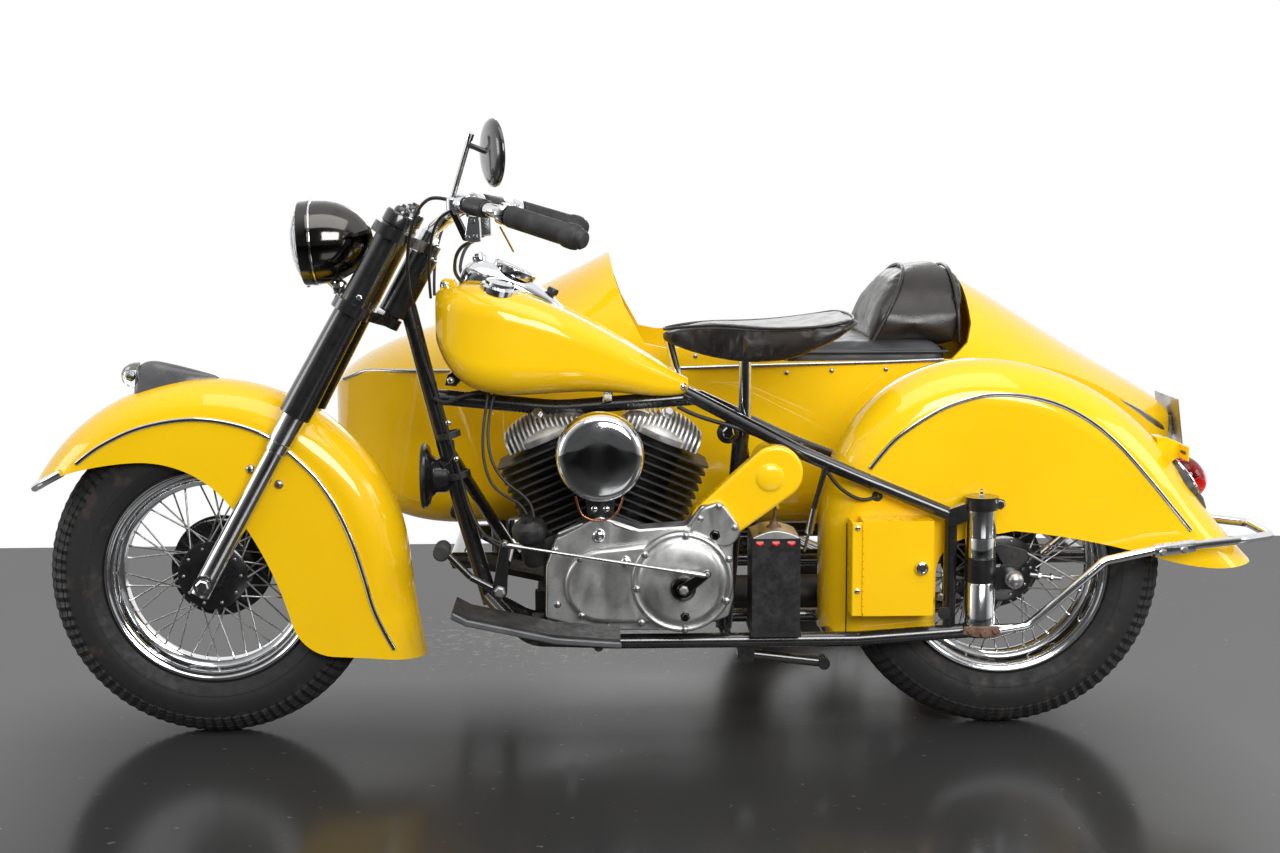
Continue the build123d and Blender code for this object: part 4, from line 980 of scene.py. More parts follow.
for hand, where in hands:
    plate(
        f"perch_{where}", [(502, 1083), (512, 1092), (530, 1092), (537, 1080), (532, 1062), (512, 1058)],
        hand * 180, hand * 202, chrome, "steering", 4,
    )
    plate(
        f"lever_{where}", [(500, 1072), (512, 1078), (541, 1018), (537, 1009), (528, 1010)], hand * 186,
        hand * 198, dark_chrome_and_painted_reflection, "steering", 3,
    )
    plate(
        f"clamp_block_{where}", [(538, 1058), (561, 1056), (563, 1008), (540, 1006), (532, 1020)],
        hand * 178, hand * 204, chrome, "steering", 3,
    )
    copies(
        f"clamp_screws_{where}", hex_head,
        [
            (at(back, hand * 205, up), (0, hand, 0), size)
            for back, up, size in ((548, 1048, 5), (552, 1018, 5), (520, 1074, 6.5), (538, 1016, 5))
        ],
        chrome, "steering",
    )
brass = bright("brass", (0.62, 0.42, 0.12), 0.22, 0.3, 14)
rods("choke_lever", [(at(601, -236, 1038), at(626, -232, 990))], 2.2, brass, "steering", 8)

mirror_middle = at(586, -240, 1175)
mirror_way = Vector((0.93, 0.36, 0.03))
mirror_back = [
    (0, -10), (26, -9.6), (46, -7.5), (58, -3.5), (63.5, 1.5), (64.4, 4.5), (63.6, 7), (61.5, 7.6), (60, 6),
]
mirror = lathe("mirror_back", mirror_back, mirror_middle, mirror_way, 64, black_enamel, "steering")
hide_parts("mirror")
lathe("mirror_glass", [(60.4, 5.6), (0, 6)], mirror_middle, mirror_way, 48, chrome, "steering")
rods("mirror_stem", [(at(508, -190, 1086), at(547, -228, 1206))], 5.0, turned_steel, "steering", 20)
rods("mirror_stem_cap", [(at(545, -226, 1200), at(549, -230, 1212))], 6.6, chrome, "steering", 20)
tube(
    "mirror_arm", [at(543, -224, 1190), at(556, -231, 1186), at(568, -236, 1180), at(580, -240, 1176)], 5.4,
    black_enamel, "steering", 16,
)
lathe(
    "mirror_foot", [(0, -16), (12, -16), (12.5, 4), (9, 8), (5, 10)], at(509, -190, 1084), (0, 0, 1), 28,
    chrome, "steering",
)

# Control cables. Each leaves its perch in one loose curve, turns down in front of the tank and follows the
# front tube.
cable_black = dull("cable_black", (0.012, 0.012, 0.012), (0.03, 0.029, 0.028), 0.38, 0.55, 30, 700)
upper_route = [
    (515, -189, 1083), (476, -182, 1097), (445, -168, 1078), (426, -146, 1036), (415, -118, 988),
    (411, -90, 940), (415, -64, 890), (424, -44, 842),
]
front_cable = tube("control_cable", [at(*point) for point in upper_route], 3.5, cable_black, None)
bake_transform(front_cable)
loose_cables = {
    "dash_cable": (
        3.6,
        [(546, 186, 1008), (530, 160, 1004), (512, 128, 986), (504, 96, 962), (503, 64, 938), (514, 44, 924)],
    ),
    "inner_cable": (
        3.0,
        [
            (508, 168, 1068), (486, 150, 1060), (468, 124, 1034), (456, 96, 994), (450, 66, 942),
            (452, 44, 892),
        ],
    ),
}
for name, (radius, route) in loose_cables.items():
    for hand, where in hands:
        line = [at(back, hand * right, up) for back, right, up in route]
        held = tube(f"{where}_{name}", line, radius, cable_black, None)
        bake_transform(held)
loom_routes = {
    "frame_loom": (
        3.5,
        [
            (425, -42, 836), (430, -36, 790), (443, -33, 744), (458, -31, 700), (472, -31, 655),
            (483, -31, 606), (497, -31, 560), (509, -32, 512), (521, -36, 466), (541, -48, 424),
            (572, -66, 396), (606, -88, 390), (634, -106, 402),
        ],
    ),
    "front_plug_lead": (
        3.0,
        [
            (568, -46, 722), (560, -58, 680), (553, -70, 630), (552, -76, 586), (559, -84, 546),
            (574, -93, 516), (602, -99, 497), (634, -106, 482), (647, -114, 450),
        ],
    ),
    "rear_plug_lead": (
        3.0,
        [
            (584, -40, 722), (571, -54, 684), (564, -70, 646), (563, -84, 606), (570, -96, 572),
            (584, -100, 545), (606, -102, 521), (634, -107, 503), (654, -113, 478), (655, -118, 448),
        ],
    ),
    "second_loom": (
        3.4,
        [
            (436, -30, 800), (448, -28, 742), (463, -26, 684), (478, -26, 624), (492, -26, 566),
            (506, -26, 508), (519, -26, 460), (530, -24, 420),
        ],
    ),
    "tank_loom": (
        4.6,
        [
            (455, -30, 690), (474, -38, 676), (498, -40, 690), (530, -38, 700), (566, -34, 703),
            (600, -30, 704),
        ],
    ),
    "horn_wire": (1.8, [(462, -20, 560), (470, -34, 548), (484, -34, 560), (494, -30, 580), (490, -28, 604)]),
    "stay_loom": (
        4.4,
        [
            (945, -26, 668), (968, -34, 656), (1000, -42, 645), (1040, -50, 634), (1080, -52, 622),
            (1122, -56, 604),
        ],
    ),
    "fender_wire": (
        3.8,
        [
            (1205, -92, 572), (1222, -96, 566), (1240, -98, 544), (1262, -99, 512), (1296, -99, 489),
            (1322, -98, 484), (1342, -93, 492),
        ],
    ),
}
for name, (radius, route) in loom_routes.items():
    tube(name, [at(*point) for point in route], radius, cable_black)
band = [(20, -7), (24, -6), (24, 6), (20, 7)]
for number, middle in enumerate((at(481, -10, 612), at(500, -10, 530))):
    lathe(f"loom_clip_{number}", band, middle, (0.24, 0, -0.97), 32, cable_black, ring=True)
leftward = (0, -1, 0)
copies(
    "loom_screws", round_head, [(at(482, -36, 640), leftward, 6), (at(497, -36, 566), leftward, 6)], chrome,
)

# Tank and dash. Two yellow halves meet along the middle under a plated console with a speedometer bezel, a
# lock and a black knob; each half has its plated filler cap, and plated bolts hold the tank at its corners.
tank_skin = skin_of("fuel_tank")
dash_stations = (
    (503, 10, 915), (508, 26, 938), (519, 40, 956), (538, 49, 966), (562, 52, 966), (592, 51, 957),
    (626, 44, 940), (660, 35, 920), (690, 25, 897), (714, 14, 872), (728, 4, 856),
)
dash_points = 17
rows = []
for back, half, top in dash_stations:
    foot = on_skin(tank_skin, at(back, 0, 1200), (0, 0, -1))[0].z * 1000 - 5
    for step in range(dash_points):
        turn = pi * step / (dash_points - 1)
        rows.append(at(back, half * cos(turn), foot + (top - foot) * sin(turn) ** 0.75))
count = len(dash_stations)
faces = net(count, dash_points)
left_edge = [row * dash_points for row in range(count)]
faces += [tuple(left_edge) + tuple(corner + dash_points - 1 for corner in reversed(left_edge))]
faces += [tuple(range(dash_points)), tuple(range((count - 1) * dash_points, count * dash_points))]
dash = piece("dash_cover", new_mesh("dash", rows, faces), chrome, sharp=80)
rounded(dash)
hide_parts("dash_console")
dash_slope = Vector((0.42, 0, 0.91))
dial_middle = at(618, 0, 944)
bezel = [(44, -10), (46, 0), (45, 5), (41, 7), (38.5, 5), (38, 2)]
lathe("speedometer_bezel", bezel, dial_middle, dash_slope, 56, chrome)
lathe("speedometer_face", [(38.5, 2), (0, 2)], dial_middle, dash_slope, 40, black_enamel)
lathe(
    "speedometer_glass", [(38.5, 4), (26, 6.5), (0, 8)], dial_middle, dash_slope, 40,
    clear_glass("dial_glass"),
)
rods(
    "speedometer_hand", [(at(617, 2, 947) + dash_slope * 0.0035, at(599, 18, 955) + dash_slope * 0.0035)],
    1.0, turned_steel, sides=6,
)
cap_rise = [(14, -6), (15, 6), (14, 9), (10, 10), (9, 14), (5, 16), (0, 16)]
lathe("dash_lock", cap_rise, at(548, 0, 964), (-0.1, 0, 1), 28, chrome)
lathe(
    "dash_knob", [(7, -8), (7, 2), (11, 4), (12, 12), (10, 16), (0, 17)], at(690, -2, 893), dash_slope, 24,
    ebonite,
)
filler = [(38, -10), (39, 2), (36, 6), (30, 7), (29, 12), (24, 15), (10, 17), (0, 17)]
for hand, where in hands:
    place, facing = on_skin(tank_skin, at(590, hand * 76, 1200), (0, 0, -1))
    lathe(f"filler_cap_{where}", filler, place, facing, 48, chrome)
    rear_bolt = on_skin(tank_skin, at(956, hand * 400, 709), (0, -hand, 0))
    front_bolt = (at(489, hand * 40, 726), Vector((0, hand, 0)))
    copies(
        f"tank_bolts_{where}", round_head, [(met, facing, 8) for met, facing in (front_bolt, rear_bolt)],
        chrome,
    )
    plate(
        f"tank_lug_{where}", [(476, 716), (482, 738), (508, 752), (520, 736), (498, 714)], hand * 10,
        hand * 40, black_enamel, bevel=2,
    )
lathe(
    "tank_front_bolt", [(11, -14), (12, 6), (9, 9), (6, 12), (0, 13)], at(484, -52, 917),
    (-0.55, -0.3, 0.78), 24, chrome,
)
plate("tank_front_lug", [(470, 905), (478, 932), (500, 930), (512, 905)], -62, -40, yellow_enamel, bevel=4)

# Saddle and cushions. Leather and vinyl stuffed over their pans: each starts a little small, is blown up as
# cloth by its padding, and gets piping or a stitched rim along its edge afterwards.


def stuffed(node, name, material, body, voxel=6.0, pressure=3.0, shrink=1.5, cap=7.0):
    """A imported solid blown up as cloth, no point moving more than cap millimetres from the solid's faces."""
    made = piece(name, packed_mesh(node), material, body, 180)
    bpy.context.view_layer.objects.active = made
    remesh = made.modifiers.new("remesh", "REMESH")
    remesh.mode = "VOXEL"
    remesh.voxel_size = voxel / 1000
    smooth = made.modifiers.new("smooth", "SMOOTH")
    smooth.factor = 0.5
    smooth.iterations = 6
    start = baked(made)
    made.modifiers.clear()
    made.data = start
    for corner, facing in zip(start.vertices, [vertex.normal.copy() for vertex in start.vertices]):
        corner.co -= facing * shrink / 1000
    rest = [vertex.co.copy() for vertex in start.vertices]
    cloth = made.modifiers.new("cloth", "CLOTH")
    cloth.settings.quality = 5
    cloth.settings.mass = 0.3
    cloth.settings.tension_stiffness = 25
    cloth.settings.compression_stiffness = 25
    cloth.settings.bending_stiffness = 2.0
    cloth.settings.use_pressure = True
    cloth.settings.uniform_pressure_force = pressure
    cloth.settings.effector_weights.gravity = 0
    cloth.point_cache.frame_start = 1
    cloth.point_cache.frame_end = 20
    for moment in range(1, 21):
        bpy.context.scene.frame_set(moment)
    blown = baked(made)
    made.modifiers.clear()
    made.data = blown
    for corner, home in zip(blown.vertices, rest):
        way = corner.co - home
        if way.length > cap / 1000:
            corner.co = home + way.normalized() * cap / 1000
    bpy.context.scene.frame_set(1)
    made.data.materials.clear()
    made.data.materials.append(material)
    rounded(made, 1)
    made.data.shade_smooth()
    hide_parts(node)
    return made


stuffed("saddle", "saddle_leather", leather, "chassis", 5.0, 2.5, 1.0, 5.0)
stuffed("sidecar_cushion", "cushion_vinyl", vinyl, "chassis", 8.0, 4.0, 2.0, 10.0)
stuffed("sidecar_backrest", "backrest_leather", leather, "chassis", 7.0, 3.5, 2.0, 8.0)
saddle_rim = [
    (920, 20), (944, 34), (970, 41), (1000, 48), (1030, 59), (1060, 77), (1090, 99), (1120, 119),
    (1150, 133), (1180, 146), (1210, 153), (1240, 153), (1266, 151), (1288, 136),
]
saddle_skin = skin_of("saddle")
outline = [(918, 0)] + saddle_rim + [(1298, 0)] + [(back, -right) for back, right in reversed(saddle_rim)]
rim_line = [
    on_skin(saddle_skin, at(back, 0.96 * right, 1000), (0, 0, -1), 1.0)[0] for back, right in outline
]
tube("saddle_piping", rim_line, 3.0, leather, sides=8, ring=True)

# Primary case. One sand-cast cover from the sprocket to the clutch, buffed on its outer faces: a back plate
# whose top corner is bolted to the crankcase, a long lobe, the round clutch cover with its raised rim, and
# an upper lobe.


def hull_outline(rounds, steps=64):
    """The outline round a few (x, z, radius) circles, as (x, z) corners in order."""
    def reach(turn, circle):
        return circle[0] * cos(turn) + circle[1] * sin(turn) + circle[2]

    corners = []
    for step in range(steps):
        turn = tau * step / steps
        back, up, radius = max(rounds, key=lambda circle: reach(turn, circle))
        corners.append((back + radius * cos(turn), up + radius * sin(turn)))
    return corners


case_back = plate(
    "case_back",
    [
        (676, 262), (735, 246), (800, 236), (960, 234), (1040, 262), (1050, 300), (1048, 390), (1052, 455),
        (1024, 492), (984, 484), (956, 446), (863, 440), (785, 468), (699, 424), (678, 366),
    ],
    -150, -88.5, cast_aluminium, bevel=5,
)
plate(
    "case_lobe", hull_outline([(790, 330, 76), (946, 337, 84)]), -170, -148, cast_aluminium, bevel=11,
    segments=5,
)
clutch_cover = [
    (99, -146), (101, -150), (101, -172), (99, -177), (95, -179), (92, -178), (89.5, -175.5), (87, -178),
    (82, -183), (72, -186.5), (40, -188), (0, -188),
]
lathe("clutch_cover", clutch_cover, at(946, 0, 338), (0, 1, 0), 96, cast_aluminium, sharp=50)
plate(
    "upper_lobe", hull_outline([(1004, 462, 26), (1030, 436, 30), (986, 440, 22), (1016, 470, 22)]), -163,
    -146, cast_aluminium, bevel=5,
)
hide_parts("primary_cover")
for number, line in enumerate((((703, 432), (752, 452)), ((812, 452), (850, 438)))):
    rods(
        f"case_rib_{number}", [(at(line[0][0], -150.5, line[0][1]), at(line[1][0], -150.5, line[1][1]))], 3,
        cast_aluminium,
    )
case_screws = {
    -177: [(872, 395), (857, 326), (866, 258), (951, 243), (1033, 300), (1037, 384), (953, 431)],
    -166: [(748, 271), (745, 385), (835, 386)], -161: [(1019, 486), (982, 462), (1050, 444)],
    -149: [(696, 400), (700, 290), (800, 244)],
}
copies(
    "case_screws", round_head,
    [(at(back, face, up), leftward, 7.5) for face, heads in case_screws.items() for back, up in heads],
    turned_steel,
)
copies(
    "case_washers", round_head, [(at(783, -149.5, 428), leftward, 14), (at(836, -169.5, 379), leftward, 11)],
    chrome,
)
copies(
    "drain_screw", hex_head, [(at(951, -187, 271), leftward, 8), (at(1011, -162, 429), leftward, 9)],
    dark_chrome_and_painted_reflection,
)
# Painted shade: a thin black rod across each of two screw heads stands for the shade in its slot.
for back, face, up, radius in ((783, 160.5, 428, 11), (836, 178.2, 379, 9)):
    rods(
        f"screw_slot_{back}", [(at(back - radius, -face, up + 3), at(back + radius, -face, up - 3))], 1.2,
        black_iron, sides=6,
    )

# Clutch shaft and rods. The dark worm housing stands out of the clutch cover, its short crank is pulled by
# a thin rod from the foot pedal, and the pedals turn on one shaft behind the front tube.
worm = [
    (24, -186), (25, -190), (25, -200), (22, -204), (17, -205), (15, -202), (12, -202), (11, -208), (0, -208),
]
lathe("clutch_worm", worm, at(947, 0, 330), (0, 1, 0), 40, dark_chrome_and_painted_reflection)
plate("clutch_crank", hull_outline([(947, 330, 13), (993, 361, 8)], 32), -213, -205, dark_chrome_and_painted_reflection, bevel=2)
copies(
    "crank_bolts", hex_head, [(at(947, -213, 330), leftward, 8), (at(993, -213, 361), leftward, 5)],
    turned_steel,
)
rods("clutch_pull", [(at(600, -214, 424), at(989, -214, 359))], 3.2, turned_steel, sides=12)
rods(
    "clutch_pull_ends",
    [(at(932, -214, 368.5), at(989, -214, 359)), (at(600, -214, 424), at(632, -214, 418.6))], 5.2,
    turned_steel, sides=12,
)
arm = plate(
    "clutch_arm", hull_outline([(589, 332, 15), (600, 426, 8)], 32), -218, -210, black_enamel, bevel=2,
)
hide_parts("clutch_rod")
copies(
    "clutch_arm_bolts", hex_head, [(at(589, -218, 332), leftward, 10), (at(600, -218, 426), leftward, 5)],
    turned_steel,
)
for hand, where in hands:
    pad = [(0, -33), (13, -33), (15, -31)]
    for rib in range(8):
        pad += [(16, -28 + 7.4 * rib), (14.2, -24.5 + 7.4 * rib)]
    pad += [(15, 31), (13, 33), (0, 33)]
    lathe(f"pedal_pad_{where}", pad, at(480, hand * 225, 416), (0, 1, 0), 32, rubber)

# Air cleaner and carburettor. A deep plated dome over a rolled rim stands out on the left between the
# cylinders, with a copper pipe looped under it to two screws on the float bowl.
cleaner_middle = at(786, 0, 592)
dome = [
    (78, -168), (84, -170), (86.5, -174), (86.5, -180), (84.5, -183), (85.2, -187), (85.2, -214),
    (82.5, -223), (76, -229), (66, -232), (34, -234), (0, -234.5),
]
dome_piece = lathe("air_cleaner_dome", dome, cleaner_middle, (0, 1, 0), 112, chrome, sharp=60)
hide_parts("air_cleaner")
lathe(
    "air_cleaner_back", [(0, -160), (40, -162), (70, -166), (84, -171), (70, -172)], cleaner_middle,
    (0, 1, 0), 64, black_enamel,
)
lathe(
    "carburettor_throat", [(26, -62), (28, -90), (34, -96), (34, -120), (28, -126), (28, -165)],
    at(786, 0, 584), (0, 1, 0), 40, head_alloy,
)
lathe(
    "float_bowl", [(0, -46), (22, -45), (27, -40), (28, 10), (24, 16), (0, 17)], at(786, -122, 508),
    (0, 0, 1), 36, black_iron,
)
plate("float_block", [(756, 500), (816, 500), (812, 468), (762, 468)], -148, -110, black_iron, bevel=5)
copper = bright("copper_pipe", (0.52, 0.20, 0.10), 0.2, 0.36, 30)
tube(
    "copper_loop",
    [
        at(x, -151, z)
        for x, z in ((738, 508), (742, 484), (752, 466), (778, 457), (806, 462), (824, 478), (832, 506))
    ],
    2.2, copper, sides=8,
)
copies(
    "bowl_screws", round_head, [(at(774, -148, 481), leftward, 7), (at(798, -148, 481), leftward, 7)], chrome,
)
plate("air_cleaner_stay", [(792, 676), (812, 680), (814, 700), (796, 700)], -30, -18, chrome, bevel=2)

# Distributor, dynamo and guard. A black cap with lead towers stands in front of the case; the dynamo behind
# the seat tube is turned by a belt under a yellow guard with a pressed boss.
cap = [(26, -6), (33, 2), (35, 8), (35, 22), (31, 30), (20, 34), (14, 38), (13, 46), (8, 47), (0, 47)]
distributor_foot = at(648, -117, 420)
spark_cap = lathe("distributor_cap", cap, distributor_foot, (-0.16, -0.32, 0.94), 44, ebonite)
lathe(
    "distributor_body", [(0, -60), (20, -58), (25, -50), (25, -4), (28, 2)], distributor_foot,
    (-0.16, -0.2, 0.94), 36, black_iron,
)
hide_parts("distributor")
copies(
    "distributor_towers", round_head,
    [(at(640, -146, 432), (-0.1, -1, 0.2), 11), (at(628, -136, 410), (-0.5, -1, 0), 8)], turned_steel,
)
guard = plate(
    "belt_guard_shell", hull_outline([(1134, 546, 55), (1010, 446, 46)], 96), -134, -94, yellow_enamel,
    bevel=9, segments=5,
)
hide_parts("belt_guard")
boss = [(34, -133), (30, -133.5), (26, -137), (22, -139), (0, -139.5)]
lathe("guard_boss", boss, at(1122, 0, 538), (0, 1, 0), 48, yellow_enamel, sharp=80)
copies("frame_nut", hex_head, [(at(1047, -24, 614), leftward, 13)], chrome)
lathe(
    "frame_washer", [(0, -10), (22, -10), (23, -18), (14, -24)], at(1047, -6, 614), (0, 1, 0), 32,
    black_enamel,
)

# Engine fastenings. Each barrel leans 22.5 degrees from upright, is held down by four base nuts, and has
# the hexagon of its spark plug on the left of its head.
lean = radians(22.5)
crank_up = 330
crank = at(793, 0, crank_up)
banks = [
    (hand, where, Vector((hand * sin(lean), 0, cos(lean))), Vector((cos(lean), 0, -hand * sin(lean))))
    for hand, where in ((-1, "front"), (1, "rear"))
]
for hand, where, way, across in banks:
    base = crank + way * 0.122
    copies(
        f"base_nuts_{where}", hex_head,
        [
            (base + across * side / 1000 + Vector((0, y / 1000, 0)), way, 7)
            for side in (-68, 68)
            for y in (-74, 74)
        ],
        turned_steel,
    )
    top = crank + way * 0.352 + across * (-hand) * 0.004
    copies(
        f"plug_{where}", hex_head, [(top + Vector((0, -0.042, 0)), (hand * 0.3, -0.75, 0.6), 11)],
        turned_steel,
    )

# Cylinder heads. Flat light-alloy heads, each a rounded casting under close fins that arch over it from
# side to side and are cut off under the tank.
fin_pitch, fin_half, fin_rise, fin_steps, head_foot, head_roof = 10, 74, 46, 20, 312, 655
for hand, where, way, across in banks:
    corners, faces = [], []
    for side in range(-75, 76, fin_pitch):
        arch = (1 - (side / 92) ** 2) ** 0.5
        roof = (head_roof - crank_up + hand * side * sin(lean)) / cos(lean) - head_foot
        outline = [(-fin_half, -12), (fin_half, -12)]
        outline += [
            (
                fin_half * cos(pi * step / fin_steps),
                max(-8, min(fin_rise * arch * sin(pi * step / fin_steps) ** 0.62, roof))
            )
            for step in range(fin_steps + 1)
        ]
        start, count = len(corners), len(outline)
        for half in (-1.9, 1.9):
            corners += [
                crank + (across * (side + half) + way * (head_foot + up) + Vector((0, right, 0))) / 1000
                for right, up in outline
            ]
        faces += [tuple(range(start, start + count)), tuple(range(start + count, start + 2 * count))]
        faces += [
            (
                start + step, start + (step + 1) % count, start + count + (step + 1) % count,
                start + count + step,
            )
            for step in range(count)
        ]
    fins = piece(f"head_fins_{where}", new_mesh("head_fins", corners, faces), head_alloy, sharp=30)
    if hand < 0:
        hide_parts("cylinder_heads")
    body_profile = [(0, -14), (84, -14), (86, -10), (86, -1), (82, 4), (74, 12), (56, 20), (30, 24), (0, 25)]
    lathe(f"head_casting_{where}", body_profile, crank + way * head_foot / 1000, way, 64, head_alloy)

# Plungers. Plated sleeves above and below a black one slide on each fixed tube, clamped into black lugs at
# both ends, with a grease nipple on top, a pinch bolt beside it and rust-flecked nuts at the foot.
plunger_at = (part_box("plungers")[0].x * 1000 + 29 - front_axle.x * 1000, 127)
rust = dull("rusty_steel", (0.20, 0.13, 0.09), (0.10, 0.035, 0.015), 0.5, 0.8, 60, 500, metallic=0.4)


def plunger_finish(centre):
    away = abs(centre.x - at(plunger_at[0], 0, 0).x) * 1000
    return 1 if away > 31 else 0


parted("plungers", (chrome, black_enamel), plunger_finish, "chassis")
sleeves = {
    "upper": (
        chrome,
        [
            (29, 374), (30.4, 375), (30.4, 412), (29.8, 413.5), (29.8, 416), (30.4, 417.5), (30.4, 469),
            (29, 470),
        ],
    ),
    "middle": (black_enamel, [(29, 323), (31.4, 325), (31.4, 372), (29, 374)]),
    "lower": (chrome, [(29, 238), (31.6, 239), (31.6, 260), (30.4, 263), (30.4, 321), (29, 323)]),
}
for hand, where in hands:
    foot = at(plunger_at[0], hand * plunger_at[1], 0)
    for which, (finish, profile) in sleeves.items():
        lathe(f"{which}_sleeve_{where}", profile, foot, (0, 0, 1), 48, finish)
    nipple_shape = [(6, 494), (6, 499), (3.5, 500), (3.5, 506), (2.4, 507), (2.8, 511), (0, 513)]
    lathe(f"grease_nipple_{where}", nipple_shape, foot, (0, 0, 1), 16, chrome)
    copies(
        f"pinch_bolts_{where}", hex_head, [(foot + Vector((0.034, hand * 0.014, 0.482)), (0, hand, 0), 9.5)],
        chrome,
    )
    copies(
        f"foot_nuts_{where}", hex_head,
        [
            (foot + Vector((x / 1000, hand * 0.034, z / 1000)), (0, hand, 0), size)
            for x, z, size in ((-24, 229, 7), (4, 224, 9), (26, 230, 7))
        ],
        rust,
    )
    plate(
        f"foot_clamp_{where}",
        [
            (plunger_at[0] - 40, 222), (plunger_at[0] - 36, 238), (plunger_at[0] + 34, 238),
            (plunger_at[0] + 38, 218), (plunger_at[0], 214),
        ],
        hand * 127 + hand * 26, hand * 127 + hand * 34, rust, bevel=2,
    )
    copies(
        f"rear_axle_nuts_{where}", hex_head, [(rear_axle + Vector((0, hand * 0.155, 0)), (0, hand, 0), 15)],
        turned_steel,
    )
    dome_nut = [(16, 164), (16, 168), (13, 173), (7, 176), (0, 177)]
    lathe(
        f"rear_axle_cap_{where}", [(radius, hand * along) for radius, along in dome_nut], rear_axle,
        (0, 1, 0), 28, turned_steel,
    )
plate("frame_plug", hull_outline([(1474, 259, 13)], 28), -131, -126, ebonite, bevel=1)
plate(
    "brake_anchor", hull_outline([(1590, 384, 11), (1632, 368, 16), (1612, 344, 10)], 40), -104, -98,
    black_iron, bevel=2,
)
# Painted shade: a thin black disc on the anchor plate stands for the shade in its hole.
lathe("anchor_hole", [(8.5, -105), (8.5, -104.2), (0, -104.4)], at(1621, 0, 372), (0, 1, 0), 24, black_iron)
rods("brake_rod", [(at(1632, -101, 382), at(1752, -101, 312))], 2.4, turned_steel, sides=8)
rods("brake_adjuster", [(at(1652, -98, 330), at(1716, -98, 321))], 4.2, turned_steel)
copies(
    "adjuster_nuts", hex_head,
    [(at(1668, -98, 328), (1, 0, -0.13), 8), (at(1694, -98, 324), (1, 0, -0.13), 7)], turned_steel,
)

# Bumper, tail lamp and fender fittings. The plated bumper tube ends in a flattened eye at the plunger and
# is joined by a clamp under the fender's tail; a red glass dome sits on a dark teardrop base on the
# fender's end.
for hand, where in hands:
    plate(
        f"bumper_eye_{where}", hull_outline([(1568, 223, 15), (1612, 231, 9)], 36), hand * 138, hand * 151,
        chrome, bevel=4,
    )
    copies(
        f"bumper_eye_bolt_{where}", hex_head, [(at(1566, hand * 151, 223), (0, hand, 0), 9)], turned_steel,
    )
    sleeve_start, sleeve_end = at(1888, hand * 142.5, 385), at(1972, hand * 136, 393.5)
    rods(f"bumper_clamp_{where}", [(sleeve_start, sleeve_end)], 13, chrome, sides=24)
    copies(
        f"bumper_clamp_bolts_{where}", hex_head,
        [
            (sleeve_start.lerp(sleeve_end, share) + Vector((0, hand * 0.012, -0.003)), (0, hand, 0), 7)
            for share in (0.2, 0.72)
        ],
        turned_steel,
    )
tail_way = Vector((0.83, 0, 0.556))
tail_seat = at(1992, 0, 508)
base_profile = [(30, -34), (40, -22), (44, -8), (46, 0), (44, 3)]
tail_base = lathe("tail_lamp_base", base_profile, tail_seat, tail_way, 56, smoked)
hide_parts("tail_lamp")
lathe(
    "tail_lamp_band", [(44, 0), (47, 1), (47.4, 4), (46, 6), (44, 6)], tail_seat, tail_way, 56, chrome,
    ring=True,
)
red_dome = clear_glass("red_dome_glass", (0.62, 0.012, 0.012), 90)
lens_profile = [(44.5, 4), (44, 12), (40, 22), (32, 31), (20, 37), (8, 39.5), (0, 40)]
lens_piece = lathe("tail_lamp_lens", lens_profile, tail_seat, tail_way, 56, red_dome, sharp=80)
lathe("tail_lamp_mirror", [(43, 3), (20, 2), (0, 2)], tail_seat, tail_way, 40, chrome)
lathe("tail_bulb", [(6, 2), (6, 8), (9, 14), (9, 20), (5, 25), (0, 26)], tail_seat, tail_way, 24, red_glass)
plate(
    "tail_lamp_foot", [(1962, 528), (1978, 536), (2026, 470), (2034, 446), (2022, 444), (1996, 474)], -26,
    26, smoked, bevel=6,
)
grommet = [(4, -3), (9, -3), (11, 0), (9, 3), (4, 3)]
lathe("fender_grommet", grommet, at(1342, -93, 492), (0, 1, 0), 24, rubber, ring=True)

# Toolbox. A folded yellow box on the rear fender, its door on a long pinned hinge, with a round plated
# lock; a flange in front of the hinge is screwed down, and a seam runs down the fender's front edge.
door_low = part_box("toolbox_door")[0]
door_face = (door_low.y - front_axle.y) * 1000
hinge_back = (door_low.x - front_axle.x) * 1000
knuckles = [
    (
        at(hinge_back - 1, door_face + 1, 268 + 15.2 * step),
        at(hinge_back - 1, door_face + 1, 281.4 + 15.2 * step),
    )
    for step in range(12)
]
rods("toolbox_knuckles", knuckles, 2.6, yellow_enamel, "toolbox_lid", 10)
plate(
    "toolbox_flange", [(1284, 262), (1284, 451), (1304, 451), (1304, 262)], door_face + 2, door_face + 6,
    yellow_enamel, bevel=1.5,
)
plate(
    "toolbox_cheek", [(1283, 262), (1283, 451), (1287, 451), (1287, 262)], door_face + 4, -93, yellow_enamel,
    bevel=1,
)
copies(
    "toolbox_screws", round_head, [(at(1294, door_face + 2, up), leftward, 6) for up in (440, 313)], chrome,
)
lock_profile = [(13, 2), (13.5, -1), (12, -4), (9, -5), (8, -3), (0, -3)]
lathe("toolbox_lock", lock_profile, at(1422, door_face, 358), (0, 1, 0), 36, chrome, "toolbox_lid")
# Painted shade: a short black rod on the lock stands for the shade in its keyhole.
rods(
    "toolbox_keyway", [(at(1422, door_face - 3.4, 363), at(1422, door_face - 3.4, 353))], 1.3, black_iron,
    "toolbox_lid", 6,
)
copies("fender_bolt", hex_head, [(at(1468, -118, 290), leftward, 7)], turned_steel)
fender_seam = [
    on_skin(rear_skin, at(1283, -400, up), (0, 1, 0), 0.2)[0] for up in (212, 260, 310, 360, 404, 436)
]
tube("fender_seam", fender_seam, 1.4, black_iron, sides=6)

